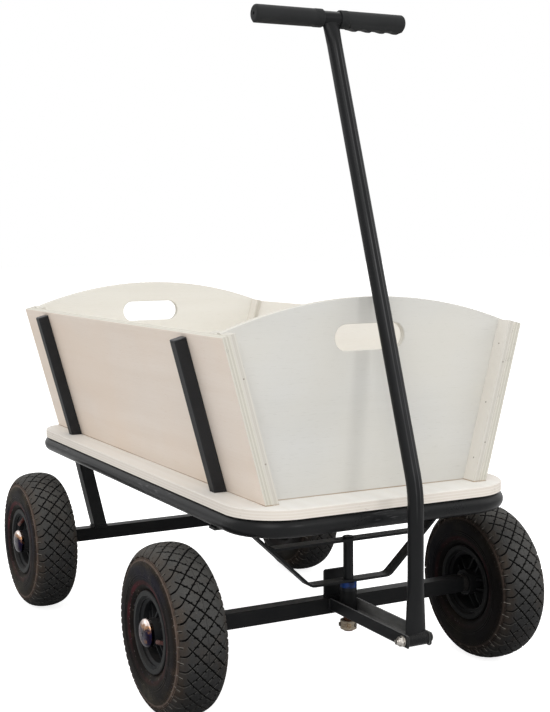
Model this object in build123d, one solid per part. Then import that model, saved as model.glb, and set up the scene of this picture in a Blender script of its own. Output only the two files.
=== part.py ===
"""Wooden pull wagon: plywood load box on a tube frame, four wheels, a steered axle and a T-handle.

Millimetres. +Z up, the wagon's front (its handle) faces -Y, the floor is Z = 0.
Y is measured from the middle of the deck, and DECK_Y moves it so that the whole wagon is centred.
"""
import math
import os

from build123d import *

OUT = "parts"

# Overall layout
WHEEL_R = 130.0
TRACK = 574.0
WHEELBASE = 648.0
AXLE_Z = WHEEL_R
FRONT_AXLE = -324.0
REAR_AXLE = FRONT_AXLE + WHEELBASE

# Deck board
DECK_TOP = 330.0
DECK_T = 15.0
DECK_W = 476.0
DECK_L = 976.0
DECK_R = 82.0
DECK_BEVEL = 1.2
DECK_UNDER = DECK_TOP - DECK_T

# Frame tube under the edge of the deck
RING_R = 14.0
RING_WALL = 2.0
RING_INSET = 10.6
RING_X = DECK_W / 2 - RING_INSET
RING_Z = DECK_UNDER - RING_R

# Box boards
BOARD_T = 12.0
LEAN = 15.06
SIDE_X = 194.5
SIDE_H = 244.0
SIDE_L = 920.0
BOX_SHIFT = 8.0
END_INSET = 28.0
ARC_R = 720.0
ARC_H = 293.0
EDGE_R = 1.5
BATTEN_T = 10.0
BATTEN_W = 27.0
SLOT_L = 122.0
SLOT_H = 40.0
SLOT_UP = 233.0
SIDE_TOP = DECK_TOP + SIDE_H
ARC_TOP = DECK_TOP + ARC_H
SLOT_Z = DECK_TOP + SLOT_UP
FRONT_BOARD_Y = BOX_SHIFT - SIDE_L / 2 + END_INSET
REAR_BOARD_Y = BOX_SHIFT + SIDE_L / 2 - END_INSET - BOARD_T

# Side stakes, let into slots in the deck
STAKE = 20.0
STAKE_WALL = 1.5
STAKE_R = 2.0
STAKE_REACH = 326.0
STAKE_LEN = 241.5
STAKE_FIT = 0.8
CAP_T = 2.5
CAP_BEVEL = 1.0
STAKE_YS = (BOX_SHIFT - STAKE_REACH, BOX_SHIFT + STAKE_REACH)

# Square axle beams, cross members and rear legs
BEAM = 25.0
BEAM_WALL = 2.4
BEAM_R = 2.0
BEAM_HALF = 240.0
MEMBER_W = 40.0
MEMBER_H = 25.0
MEMBER_WALL = 2.0
MEMBER_BACK = 5.0
LEG_X = 163.6
LEG_GAP = 3.5
CRIMP_W = 18.0
CRIMP_L = 66.0
CRIMP_IN = 6.0
CRIMP_VALLEY = 7.2
CRIMP_SLOPE = 1.5
CRIMP_TIP = 8.0
BEAM_TOP = AXLE_Z + BEAM / 2

# Wheels
TYRE_W = 86.0
RIM_W = 76.0
RIM_R = 50.0
LIP_R = 62.0
LIP_T = 4.2
LIP_FLAT = 8.0
LIP_ROUND = 1.68
BOWL_R = 45.0
BOWL_STEP = 10.0
BOWL_FLARE = 7.0
BEAD_T = 7.0
# Tyre section: distance in from its side, and share of the way from the lip to the crown
TYRE_OUTSIDE = [(9.2, 0.0075), (2, 0.14), (0, 0.41), (2, 0.67), (11.5, 0.88), (25.8, 0.975), (TYRE_W / 2, 1)]
TYRE_INSIDE = [(16.2, -0.03), (9.5, 0.17), (6.5, 0.41), (9, 0.61), (18, 0.77), (TYRE_W / 2, 0.875)]
WEB_T = 4.0
SPOKES = 5
RIB_T = 3.5
RIB_GAP = 13.0
RIB_HUB = 27.0
RIB_RIM = 19.0
HUB_R = 21.0
STUB_R = 10.0
STUB_SEAT = 60.0
SEAT_FIT = 0.1
SHOULDER = 5.0
RUN_FIT = 0.05
END_PLAY = 1.0
WASHER_T = 2.0
CAP_R = 21.8
CAP_SKIRT = 4.5
CAP_RISE = 7.5
CAP_WALL = 1.5

# Drawbar channel, its top level with the beam's
CHANNEL_W = 42.0
CHANNEL_H = 20.0
CHANNEL_T = 3.0
CHANNEL_BEND = 4.5
EAR_REACH = 10.5
EAR_R = 4.0
FLOOR_BACK = 13.0
CHANNEL_Z = BEAM_TOP - CHANNEL_H
CHANNEL_IN = CHANNEL_W / 2 - CHANNEL_T

# Steering head, from the channel's floor up to the brace
PIN_Y = FRONT_AXLE - 35.0
PIN_R = 8.0
HEAD_R = 13.3
HEAD_L = 34.5
BUSH_L = 13.7
THRUST_GAP = 0.3
BRACE_W = 20.0
BRACE_T = 4.0
BRACE_HALF = 71.6
BRACE_RISE = 43.0
BRACE_BEND = 18.0
BRACE_TAB = 8.6
CROSSBAR_UP = 65.0
COLLAR_R = 13.0
COLLAR_L = 13.5
COLLAR_DROP = 11.0
PIN_END = 3.0
STOP_W = 50.0
STOP_H = 44.5
STOP_T = 4.0
STOP_R = 4.0
STOP_FORWARD = 2.0
WELD_GAP = 0.05
HEAD_Z = CHANNEL_Z + CHANNEL_T
BUSH_Z = HEAD_Z + HEAD_L
BRACE_Z = BUSH_Z + BUSH_L + THRUST_GAP
CROSSBAR_Z = BRACE_Z + CROSSBAR_UP
COLLAR_Z = CHANNEL_Z - COLLAR_DROP - COLLAR_L

# Handle pivot
PIVOT_AHEAD = 55.0
PIVOT_Y = -DECK_L / 2 - PIVOT_AHEAD
PIVOT_Z = AXLE_Z + 3.0
PIVOT_R = 4.0
SLEEVE_R = 10.0
SLEEVE_GAP = 0.4
NUT_FLATS = 13.0
NUT_L = 8.0
HEAD_H = 5.3
WASHER_R = 8.0

# Handle
SHAFT_R = 11.7
SHAFT_WALL = 2.0
FOOT_GAP = 0.8
FOOT_THICK = 4.8
HALF_WIDER = 0.6
FOOT_RISE = 92.0
HEAD_GAP = 0.5
HEAD_THICK = 6.6
HEAD_RISE = 45.0
BEND_RISE = 216.0
BEND_R = 150.0
HANDLE_LEAN = 18.46
GRIP_RISE = 914.0
BAR_HALF = 128.5
GRIP_WALL = 2.1
GRIP_L = 117.0
GRIP_INNER = 15.5
RIDGES = 4
RIDGE_PITCH = 25.2
RIDGE_FIRST = 29.0
RIDGE_H = 3.2
RIDGE_TIP = 4.0
KEEL_DROP = 5.5
GRIP_TURN = 75.0
GRIP_END_R = 4.5
GRIP_HOLE = 2.5
GRIP_R = SHAFT_R + GRIP_WALL

# Y of the middle of the deck, so the whole wagon is centred on the origin
EAR_FRONT = PIVOT_Y - EAR_REACH
RING_REAR = DECK_L / 2 - RING_INSET + RING_R
DECK_Y = -(EAR_FRONT + RING_REAR) / 2

SIN = math.sin(math.radians(LEAN))
COS = math.cos(math.radians(LEAN))


def box(x0, x1, y0, y1, z0, z1):
    """Box between two corners."""
    body = Box(x1 - x0, y1 - y0, z1 - z0)
    return Pos((x0 + x1) / 2, (y0 + y1) / 2 + DECK_Y, (z0 + z1) / 2) * body


def rod(radius, start, end):
    """Round bar between two points."""
    a = Vector(*start) + Vector(0, DECK_Y, 0)
    b = Vector(*end) + Vector(0, DECK_Y, 0)
    plane = Plane(origin=a, z_dir=b - a)
    return plane * Cylinder(radius, (b - a).length, align=(Align.CENTER, Align.CENTER, Align.MIN))


def pin_rod(radius, z0, z1):
    return rod(radius, (0, PIN_Y, z0), (0, PIN_Y, z1))


def plate_xz(points, y0, y1):
    """Flat plate of an outline in X and Z, between two Y values."""
    plane = Plane(origin=(0, y1 + DECK_Y, 0), x_dir=(1, 0, 0), z_dir=(0, -1, 0))
    return extrude(plane * make_face(Polyline(*points, close=True)), y1 - y0)


def mirrored(bodies):
    return [mirror(body, about=Plane.YZ) for body in bodies]


def both_sides(body):
    return [body] + mirrored([body])


def lean_line(offset, z):
    """X of a line parallel to the side board's outer face, offset outwards."""
    return SIDE_X + (z - DECK_TOP) * SIN / COS + offset / COS


def ring_rod(radius):
    """Round bar along the frame's closed rounded rectangle."""
    outline = RectangleRounded(2 * RING_X, DECK_L - 2 * RING_INSET, DECK_R - RING_INSET)
    path = (Pos(0, DECK_Y, RING_Z) * outline).face().outer_wire()
    plane = Plane(origin=path @ 0, z_dir=path % 0)
    return sweep(plane * Circle(radius), path=path)


def frame_ring():
    return ring_rod(RING_R) - ring_rod(RING_R - RING_WALL)


def cross_members():
    """Flat-laid tubes under the deck, coped to the frame tube."""
    ring = ring_rod(RING_R)
    half = MEMBER_W / 2
    low = DECK_UNDER - MEMBER_H
    t = MEMBER_WALL
    solids = []
    for y in (STAKE_YS[0], REAR_AXLE + MEMBER_BACK):
        outer = box(-RING_X, RING_X, y - half, y + half, low, DECK_UNDER)
        bore = box(-RING_X, RING_X, y - half + t, y + half - t, low + t, DECK_UNDER - t)
        solids.append(outer - bore - ring)
    return solids


def stake_slots():
    x0 = lean_line(0, DECK_UNDER) - STAKE_FIT
    x1 = lean_line(STAKE, DECK_TOP) + STAKE_FIT
    half = STAKE / 2 + STAKE_FIT
    slots = []
    for y in STAKE_YS:
        slots += both_sides(box(x0, x1, y - half, y + half, DECK_UNDER - DECK_T, DECK_TOP + DECK_T))
    return slots


def deck_board():
    outline = Pos(0, DECK_Y, DECK_UNDER) * RectangleRounded(DECK_W, DECK_L, DECK_R)
    board = extrude(outline, DECK_T)
    board = chamfer(board.faces().sort_by(Axis.Z)[-1].edges(), DECK_BEVEL)
    for slot in stake_slots():
        board -= slot
    return board


def leaning_slab(outer, thick, y0, y1, top):
    """Board parallel to the side board: outer face offset outwards, square top, flat foot on the deck."""
    points = [
        (lean_line(outer, DECK_TOP), DECK_TOP),
        (lean_line(outer, top), top),
        (lean_line(outer, top) - thick * COS, top + thick * SIN),
        (lean_line(outer - thick, DECK_TOP), DECK_TOP),
    ]
    return plate_xz(points, y0, y1)


def side_board():
    board = leaning_slab(0, BOARD_T, BOX_SHIFT - SIDE_L / 2, BOX_SHIFT + SIDE_L / 2, SIDE_TOP)
    rails = board.edges().filter_by(Axis.Y).sort_by(Axis.Z)[-2:]
    return fillet(rails, EDGE_R)


def end_board(y0):
    """Trapezium between the side boards, with an arched top and a hand slot."""
    high = ARC_TOP + BOARD_T
    foot = lean_line(-BOARD_T, DECK_TOP)
    tall = lean_line(-BOARD_T, high)
    y1 = y0 + BOARD_T
    blank = plate_xz([(-foot, DECK_TOP), (foot, DECK_TOP), (tall, high), (-tall, high)], y0, y1)
    blank &= rod(ARC_R, (0, y0, ARC_TOP - ARC_R), (0, y1, ARC_TOP - ARC_R))
    plane = Plane(origin=(0, y1 + DECK_Y, SLOT_Z), x_dir=(1, 0, 0), z_dir=(0, -1, 0))
    board = blank - extrude(plane * SlotOverall(SLOT_L, SLOT_H), BOARD_T)
    rounds = board.edges().filter_by(GeomType.CIRCLE)
    rounds += board.edges().filter_by(Axis.X).filter_by(lambda e: e.center().Z > SLOT_Z - SLOT_H)
    return fillet(rounds, EDGE_R)


def corner_battens():
    """Four battens of one side: one on each face of each end board."""
    top = SIDE_TOP + BOARD_T * SIN
    strips = []
    for board_y in (FRONT_BOARD_Y, REAR_BOARD_Y):
        inner = board_y + BOARD_T
        strips.append(leaning_slab(-BOARD_T, BATTEN_T, board_y - BATTEN_W, board_y, top))
        strips.append(leaning_slab(-BOARD_T, BATTEN_T, inner, inner + BATTEN_W, top))
    return strips


def stake_frame(y):
    """Plane on a stake's axis at deck height, Z along the stake, X outwards."""
    centre = lean_line(STAKE / 2, DECK_TOP)
    return Plane(origin=(centre, y + DECK_Y, DECK_TOP), x_dir=(COS, 0, -SIN), z_dir=(SIN, 0, COS))


def stakes():
    """Square tubes beside one side board, cut level with the deck's underside."""
    foot = 2 * DECK_T
    bore = STAKE - 2 * STAKE_WALL
    section = RectangleRounded(STAKE, STAKE, STAKE_R) - RectangleRounded(bore, bore, STAKE_R - STAKE_WALL)
    solids = []
    for y in STAKE_YS:
        tube = extrude(stake_frame(y) * Pos(0, 0, -foot) * section, STAKE_LEN + foot)
        solids.append(tube - box(0, DECK_W, y - STAKE, y + STAKE, 0, DECK_UNDER))
    return solids


def stake_caps():
    solids = []
    for y in STAKE_YS:
        cap = stake_frame(y) * Pos(0, 0, STAKE_LEN) * RectangleRounded(STAKE, STAKE, STAKE_R)
        cap = extrude(cap, CAP_T)
        cap = chamfer(cap.faces().sort_by(Axis.Z)[-1].edges(), CAP_BEVEL)
        solids += both_sides(cap)
    return solids


def axle_beam(y):
    h = BEAM / 2
    outer = box(-BEAM_HALF, BEAM_HALF, y - h, y + h, AXLE_Z - h, AXLE_Z + h)
    outer = fillet(outer.edges().filter_by(Axis.X), BEAM_R)
    i = h - BEAM_WALL
    return outer - box(-BEAM_HALF, BEAM_HALF, y - i, y + i, AXLE_Z - i, AXLE_Z + i)


def stub_axles(y):
    """Turned stubs pressed into the beam's ends, each with a shoulder and an end washer."""
    inner = TRACK / 2 - RIM_W / 2 - END_PLAY
    outer = TRACK / 2 + RIM_W / 2 + END_PLAY
    spigot = BEAM / 2 - BEAM_WALL - SEAT_FIT
    stub = rod(spigot, (BEAM_HALF - STUB_SEAT, y, AXLE_Z), (BEAM_HALF, y, AXLE_Z))
    stub += rod(STUB_R, (BEAM_HALF, y, AXLE_Z), (outer + WASHER_T, y, AXLE_Z))
    stub += rod(STUB_R + SHOULDER, (BEAM_HALF, y, AXLE_Z), (inner, y, AXLE_Z))
    stub += rod(STUB_R + SHOULDER, (outer, y, AXLE_Z), (outer + WASHER_T, y, AXLE_Z))
    return both_sides(stub)


def leg_lean(high):
    """Slope of a leg, from its foot on the rear beam to its top beside the frame tube."""
    return (RING_X - RING_R - LEG_GAP - BEAM / 2 - LEG_X) / (high - BEAM_TOP)


def leg_bar(inset, high):
    """Leaning square bar from the rear beam, smaller all round by the inset."""
    rise = (high - BEAM_TOP) * leg_lean(high)
    h = BEAM / 2 - inset
    wide = h * math.hypot(1, leg_lean(high))
    top_x = LEG_X + rise
    points = [(LEG_X - wide, BEAM_TOP), (LEG_X + wide, BEAM_TOP), (top_x + wide, high), (top_x - wide, high)]
    return plate_xz(points, REAR_AXLE - h, REAR_AXLE + h)


def leg_crimp(grow, high):
    """Three-sided dent in the outer front corner of a leg's top, point down, larger by the growth."""
    face = REAR_AXLE - BEAM / 2 + DECK_Y
    corner = LEG_X + (high - BEAM_TOP) * leg_lean(high) + BEAM / 2 * math.hypot(1, leg_lean(high))
    valley = (corner - CRIMP_VALLEY, face + CRIMP_IN + CRIMP_SLOPE * grow, high)
    start = (corner - CRIMP_W - grow, face, high)
    mouth = Polyline(start, (corner + grow, face, high), valley, close=True)
    drop = CRIMP_L + CRIMP_TIP * grow
    return loft([make_face(mouth), Vertex(corner - drop * leg_lean(high), face, high - drop)])


def rear_legs():
    """Square tubes from the rear beam up and out to the rear cross member, crimped at the top."""
    high = DECK_UNDER - MEMBER_H
    shell = leg_bar(0, high) - leg_crimp(0, high)
    bore = leg_bar(BEAM_WALL, high) - leg_crimp(BEAM_WALL, high)
    return both_sides(shell - bore)


def brace_bar():
    """Centre line of the brace: tabs under the frame tube, sloping legs and a level run."""
    low = BRACE_Z + BRACE_T / 2
    high = RING_Z - RING_R - BRACE_T / 2
    reach = BRACE_HALF + (high - low) / math.tan(math.radians(BRACE_RISE))
    end = RING_X + BRACE_TAB
    xz = [(-end, high), (-reach, high), (-BRACE_HALF, low), (BRACE_HALF, low), (reach, high), (end, high)]
    return FilletPolyline(*[(x, PIN_Y + DECK_Y, z) for x, z in xz], radius=BRACE_BEND)


def steering_brace():
    """Flat bar bent to carry the kingpin below the frame."""
    path = brace_bar()
    plane = Plane(origin=path @ 0, x_dir=(0, 1, 0), z_dir=path % 0)
    bar = sweep(plane * Rectangle(BRACE_W, BRACE_T), path=path)
    return bar - pin_rod(PIN_R, BRACE_Z - BRACE_T, BRACE_Z + 2 * BRACE_T)


def brace_crossbar():
    """Flat bar between the brace's legs that holds the top of the kingpin."""
    rise = math.radians(BRACE_RISE)
    middle = BRACE_Z + BRACE_T / 2
    ends = []
    for z in (CROSSBAR_Z, CROSSBAR_Z + BRACE_T):
        inside = BRACE_HALF + (z - middle) / math.tan(rise) - BRACE_T / 2 / math.sin(rise)
        ends.append((inside - WELD_GAP, z))
    points = ends + [(-x, z) for x, z in reversed(ends)]
    bar = plate_xz(points, PIN_Y - BRACE_W / 2, PIN_Y + BRACE_W / 2)
    return bar - pin_rod(PIN_R, CROSSBAR_Z - BRACE_T, CROSSBAR_Z + 2 * BRACE_T)


def kingpin():
    return pin_rod(PIN_R, COLLAR_Z - PIN_END, CROSSBAR_Z + BRACE_T + PIN_END)


def kingpin_collar():
    top = COLLAR_Z + COLLAR_L
    return pin_rod(COLLAR_R, COLLAR_Z, top) - pin_rod(PIN_R, COLLAR_Z, top)


def head_tube():
    return pin_rod(HEAD_R, HEAD_Z, BUSH_Z) - pin_rod(PIN_R + RUN_FIT, HEAD_Z, BUSH_Z)


def steering_bushing():
    """Plastic thrust bush between the head tube and the brace."""
    top = BUSH_Z + BUSH_L
    return pin_rod(HEAD_R, BUSH_Z, top) - pin_rod(PIN_R + RUN_FIT, BUSH_Z, top)


def stop_plate():
    """Upright plate on the front beam, behind the steering head."""
    front = FRONT_AXLE - STOP_FORWARD - STOP_T / 2
    plate = box(-STOP_W / 2, STOP_W / 2, front, front + STOP_T, BEAM_TOP, BEAM_TOP + STOP_H)
    return fillet(plate.edges().filter_by(Axis.Y).sort_by(Axis.Z)[-2:], STOP_R)


def drawbar_channel():
    """Folded channel, open upwards, from the front beam to the handle pivot, its floor cut back."""
    back = FRONT_AXLE - BEAM / 2
    half = CHANNEL_W / 2
    outer = box(-half, half, EAR_FRONT, back, CHANNEL_Z, BEAM_TOP)
    outer = fillet(outer.edges().filter_by(Axis.Y).sort_by(Axis.Z)[:2], CHANNEL_BEND)
    tray = box(-CHANNEL_IN, CHANNEL_IN, EAR_FRONT, back, HEAD_Z, BEAM_TOP)
    tray = fillet(tray.edges().filter_by(Axis.Y).sort_by(Axis.Z)[:2], CHANNEL_BEND - CHANNEL_T)
    throat = box(-CHANNEL_IN, CHANNEL_IN, EAR_FRONT, PIVOT_Y + FLOOR_BACK, CHANNEL_Z, BEAM_TOP)
    long = back - EAR_FRONT
    side = Pos(back + DECK_Y, CHANNEL_Z + CHANNEL_H / 2) * RectangleRounded(2 * long, CHANNEL_H, EAR_R)
    ears = extrude(Plane.YZ * side, half, both=True)
    body = (outer & ears) - tray - throat
    body -= rod(PIVOT_R, (-half, PIVOT_Y, PIVOT_Z), (half, PIVOT_Y, PIVOT_Z))
    return body - pin_rod(PIN_R + RUN_FIT, CHANNEL_Z, HEAD_Z)


def hexagon(x0, x1):
    """Hexagon bar along the pivot."""
    plane = Plane(origin=(x0, PIVOT_Y + DECK_Y, PIVOT_Z), x_dir=(0, 1, 0), z_dir=(1, 0, 0))
    return extrude(plane * RegularPolygon(NUT_FLATS / 2, 6, major_radius=False), x1 - x0)


def pivot_bolt():
    """Bolt through both ears, with its head on the left and a washer and lock nut on the right."""
    side = CHANNEL_W / 2
    bolt = rod(PIVOT_R, (-side - WASHER_T - NUT_L - PIN_END, PIVOT_Y, PIVOT_Z), (side, PIVOT_Y, PIVOT_Z))
    bolt += rod(WASHER_R, (-side - WASHER_T, PIVOT_Y, PIVOT_Z), (-side, PIVOT_Y, PIVOT_Z))
    return bolt + hexagon(-side - WASHER_T - NUT_L, -side - WASHER_T) + hexagon(side, side + HEAD_H)


def pivot_sleeve():
    half = CHANNEL_IN - SLEEVE_GAP
    ends = ((-half, PIVOT_Y, PIVOT_Z), (half, PIVOT_Y, PIVOT_Z))
    return rod(SLEEVE_R, *ends) - rod(PIVOT_R + RUN_FIT, *ends)


def shaft_direction():
    return Vector(0, math.sin(math.radians(HANDLE_LEAN)), math.cos(math.radians(HANDLE_LEAN)))


def grip_y():
    return PIVOT_Y + (GRIP_RISE - BEND_RISE) * math.tan(math.radians(HANDLE_LEAN))


def grip_z():
    return PIVOT_Z + GRIP_RISE


def bar_rod(radius, x0, x1):
    return rod(radius, (x0, grip_y(), grip_z()), (x1, grip_y(), grip_z()))


def shaft_solid(inset):
    """Round bar with flattened ends, smaller all round by the inset."""
    up = Vector(0, 0, 1)
    flat_foot = (CHANNEL_IN - FOOT_GAP, FOOT_THICK)
    half_flat = ((flat_foot[0] + SHAFT_R) / 2 + HALF_WIDER, (FOOT_THICK + SHAFT_R) / 2)
    flat_head = (GRIP_INNER - HEAD_GAP, HEAD_THICK)
    pivot = Vector(0, PIVOT_Y + DECK_Y, PIVOT_Z)
    head = Vector(0, grip_y() + DECK_Y, grip_z())
    neck = head - shaft_direction() * HEAD_RISE
    round_bar = (SHAFT_R, SHAFT_R)

    def section(origin, direction, radii):
        plane = Plane(origin=origin, x_dir=(1, 0, 0), z_dir=direction)
        return plane * Ellipse(radii[0] - inset, radii[1] - inset)

    foot = [section(pivot, up, flat_foot), section(pivot + up * SLEEVE_R, up, flat_foot)]
    foot.append(section(pivot + up * FOOT_RISE / 2, up, half_flat))
    foot.append(section(pivot + up * FOOT_RISE, up, round_bar))
    path = FilletPolyline(pivot + up * FOOT_RISE, pivot + up * BEND_RISE, neck, radius=BEND_R)
    tube = sweep(section(path @ 0, up, round_bar), path=path)
    top = [section(neck, shaft_direction(), round_bar), section(head, shaft_direction(), flat_head)]
    return loft(foot) + tube + loft(top)


def handle_shaft():
    """Tube flattened at both ends, upright from the pivot, then bent back to the crossbar."""
    tube = shaft_solid(0) - shaft_solid(SHAFT_WALL)
    half = CHANNEL_IN
    tube -= rod(SLEEVE_R, (-half, PIVOT_Y, PIVOT_Z), (half, PIVOT_Y, PIVOT_Z))
    return tube - bar_rod(SHAFT_R, -BAR_HALF, BAR_HALF)


def handle_crossbar():
    return bar_rod(SHAFT_R, -BAR_HALF, BAR_HALF) - bar_rod(SHAFT_R - SHAFT_WALL, -BAR_HALF, BAR_HALF)


def grip():
    """Rubber sleeve with a vented end and finger ridges underneath, on the crossbar's left arm."""
    end = GRIP_INNER + GRIP_L
    body = bar_rod(GRIP_R, GRIP_INNER, end)
    body = fillet(body.edges().filter_by(GeomType.CIRCLE).sort_by(Axis.X)[-1], GRIP_END_R)
    first = GRIP_INNER + RIDGE_FIRST
    y = grip_y()
    keel_z = grip_z() - KEEL_DROP
    keel_r = GRIP_R + RIDGE_H - KEEL_DROP
    keel = rod(keel_r, (first - RIDGE_PITCH / 2, y, keel_z), (end - GRIP_END_R, y, keel_z))
    chord = (RIDGE_PITCH - RIDGE_TIP) / 2
    dip_r = (chord ** 2 + RIDGE_H ** 2) / (2 * RIDGE_H)
    dip_z = grip_z() - GRIP_R - dip_r
    for i in range(RIDGES + 1):
        x = first + (i - 0.5) * RIDGE_PITCH
        keel -= rod(dip_r, (x, y - GRIP_R, dip_z), (x, y + GRIP_R, dip_z))
    return body + keel - bar_rod(SHAFT_R, GRIP_INNER, BAR_HALF) - bar_rod(GRIP_HOLE, BAR_HALF, end)


def turned_grip(body, angle):
    """Grip turned about the crossbar."""
    axis = Axis((0, grip_y() + DECK_Y, grip_z()), (1, 0, 0))
    return body.rotate(axis, angle)


def on_axle(body, side, y):
    """Wheel part made about X, with +X outwards, set on one axle end."""
    if side < 0:
        body = mirror(body, about=Plane.YZ)
    return Pos(side * TRACK / 2, y + DECK_Y, AXLE_Z) * body


def half_and_back(points):
    """Outline points from one side to the middle, then mirrored to the other side."""
    return points + [(-x, r) for x, r in reversed(points[:-1])]


def tyre():
    """Hollow casing with its beads seated between the rim's lips."""
    h = TYRE_W / 2
    bead = RIM_W / 2 - LIP_T
    toe = bead - BEAD_T
    deep = WHEEL_R - LIP_R
    outer = half_and_back([(inwards - h, LIP_R + share * deep) for inwards, share in TYRE_OUTSIDE])
    inner = half_and_back([(h - inwards, LIP_R + share * deep) for inwards, share in TYRE_INSIDE])
    outer[0] = (-bead, outer[0][1])
    outer[-1] = (bead, outer[-1][1])
    sides = [Line((-bead, RIM_R), outer[0]), Spline(*outer), Line(outer[-1], (bead, RIM_R))]
    sides += [Line((bead, RIM_R), (toe, RIM_R)), Line((toe, RIM_R), inner[0]), Spline(*inner)]
    sides += [Line(inner[-1], (-toe, RIM_R)), Line((-toe, RIM_R), (-bead, RIM_R))]
    return revolve(make_face(Wire([part.edge() for part in sides])), Axis.X, 360)


def window(pitch):
    """One opening of the web: a sector with straight sides parallel to the spokes."""
    sector = Circle(BOWL_R - 3) - Circle(HUB_R + 3)
    half = math.radians(pitch / 2)
    tip = (RIB_GAP / 2 + RIB_T) / math.sin(half)
    far = tip + RIM_R
    across = RIM_R * math.tan(half)
    wedge = make_face(Polyline((tip, 0), (far, across), (far, -across), close=True))
    return fillet((sector & wedge).face().vertices(), RIB_T)


def rib(offset):
    """Fin beside a spoke, on both sides of the web, tapering from the hub to the barrel."""
    points = [(-RIB_HUB, HUB_R - 2), (RIB_HUB, HUB_R - 2), (RIB_RIM, RIM_R - 2), (-RIB_RIM, RIM_R - 2)]
    plane = Plane(origin=(0, offset + RIB_T / 2, 0), x_dir=(1, 0, 0), z_dir=(0, -1, 0))
    return extrude(plane * make_face(Polyline(*points, close=True)), RIB_T)


def rim():
    """Moulded wheel centre: a barrel with rolled lips, a web on ribbed spokes, and a bored hub."""
    h = RIM_W / 2
    bore = STUB_R + RUN_FIT
    half = [(h, bore), (h, HUB_R), (WEB_T / 2, HUB_R), (WEB_T / 2, BOWL_R)]
    half += [(h - BOWL_STEP, BOWL_R + 1), (h - BOWL_FLARE, RIM_R), (h, LIP_R - LIP_FLAT)]
    half += [(h, LIP_R), (h - LIP_T, LIP_R), (h - LIP_T, RIM_R)]
    outline = half + [(-x, r) for x, r in reversed(half)]
    body = revolve(make_face(Polyline(*outline, close=True)), Axis.X, 360)
    pitch = 360 / SPOKES
    opening = extrude(Plane.YZ * window(pitch), WEB_T, both=True)
    centre = (RIB_GAP + RIB_T) / 2
    fins = rib(centre) + rib(-centre)
    for i in range(SPOKES):
        body -= Rot(i * pitch, 0, 0) * opening
        body += Rot((i + 0.5) * pitch, 0, 0) * Rot(-90, 0, 0) * fins
    lips = body.edges().filter_by(GeomType.CIRCLE).filter_by(lambda e: abs(e.radius - LIP_R) < 0.01)
    return fillet(lips, LIP_ROUND)


def hub_cap():
    """Thin cover with a skirt and a domed face over the hub's outer end."""
    skirt = RIM_W / 2 + CAP_SKIRT
    outer = [(skirt, CAP_R), (skirt + CAP_RISE * 0.45, CAP_R * 0.9)]
    outer += [(skirt + CAP_RISE * 0.85, CAP_R * 0.5), (skirt + CAP_RISE, 0)]
    r = CAP_R - CAP_WALL
    rise = CAP_RISE - CAP_WALL
    inner = [(skirt + rise, 0), (skirt + rise * 0.85, r * 0.5)]
    inner += [(skirt + rise * 0.45, r * 0.9), (skirt, r)]
    foot = RIM_W / 2
    sides = [Line((foot, CAP_R), outer[0]), Spline(*outer), Line(outer[-1], inner[0]), Spline(*inner)]
    sides += [Line(inner[-1], (foot, r)), Line((foot, r), (foot, CAP_R))]
    return revolve(make_face(Wire([part.edge() for part in sides])), Axis.X, 360)


def save(name, solids):
    if not isinstance(solids, list):
        solids = [solids]
    bodies = []
    for item in solids:
        bodies += item.solids()
    shape = bodies[0] if len(bodies) == 1 else Compound(bodies)
    export_step(shape, os.path.join(OUT, name + ".step"))


def main():
    os.makedirs(OUT, exist_ok=True)
    save("frame_ring", frame_ring())
    save("cross_members", cross_members())
    save("deck_board", deck_board())
    save("side_board_left", side_board())
    save("side_board_right", mirrored([side_board()]))
    save("front_board", end_board(FRONT_BOARD_Y))
    save("rear_board", end_board(REAR_BOARD_Y))
    save("battens_left", corner_battens())
    save("battens_right", mirrored(corner_battens()))
    save("stakes_left", stakes())
    save("stakes_right", mirrored(stakes()))
    save("stake_caps", stake_caps())
    save("rear_axle_beam", axle_beam(REAR_AXLE))
    save("rear_stub_axles", stub_axles(REAR_AXLE))
    save("rear_legs", rear_legs())
    save("steering_brace", steering_brace())
    save("brace_crossbar", brace_crossbar())
    save("kingpin", kingpin())
    save("kingpin_collar", kingpin_collar())
    save("front_axle_beam", axle_beam(FRONT_AXLE))
    save("front_stub_axles", stub_axles(FRONT_AXLE))
    save("head_tube", head_tube())
    save("steering_bushing", steering_bushing())
    save("stop_plate", stop_plate())
    save("drawbar_channel", drawbar_channel())
    save("pivot_bolt", pivot_bolt())
    save("pivot_sleeve", pivot_sleeve())
    save("handle_shaft", handle_shaft())
    save("handle_crossbar", handle_crossbar())
    save("grip_left", grip())
    save("grip_right", turned_grip(mirror(grip(), about=Plane.YZ), GRIP_TURN))
    for end, y in (("front", FRONT_AXLE), ("rear", REAR_AXLE)):
        for hand, side in (("left", 1), ("right", -1)):
            place = end + "_" + hand
            save("tyre_" + place, on_axle(tyre(), side, y))
            save("rim_" + place, on_axle(rim(), side, y))
            save("hub_cap_" + place, on_axle(hub_cap(), side, y))


main()
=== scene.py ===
import bpy
import math
import random
from mathutils import Matrix, Vector


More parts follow.
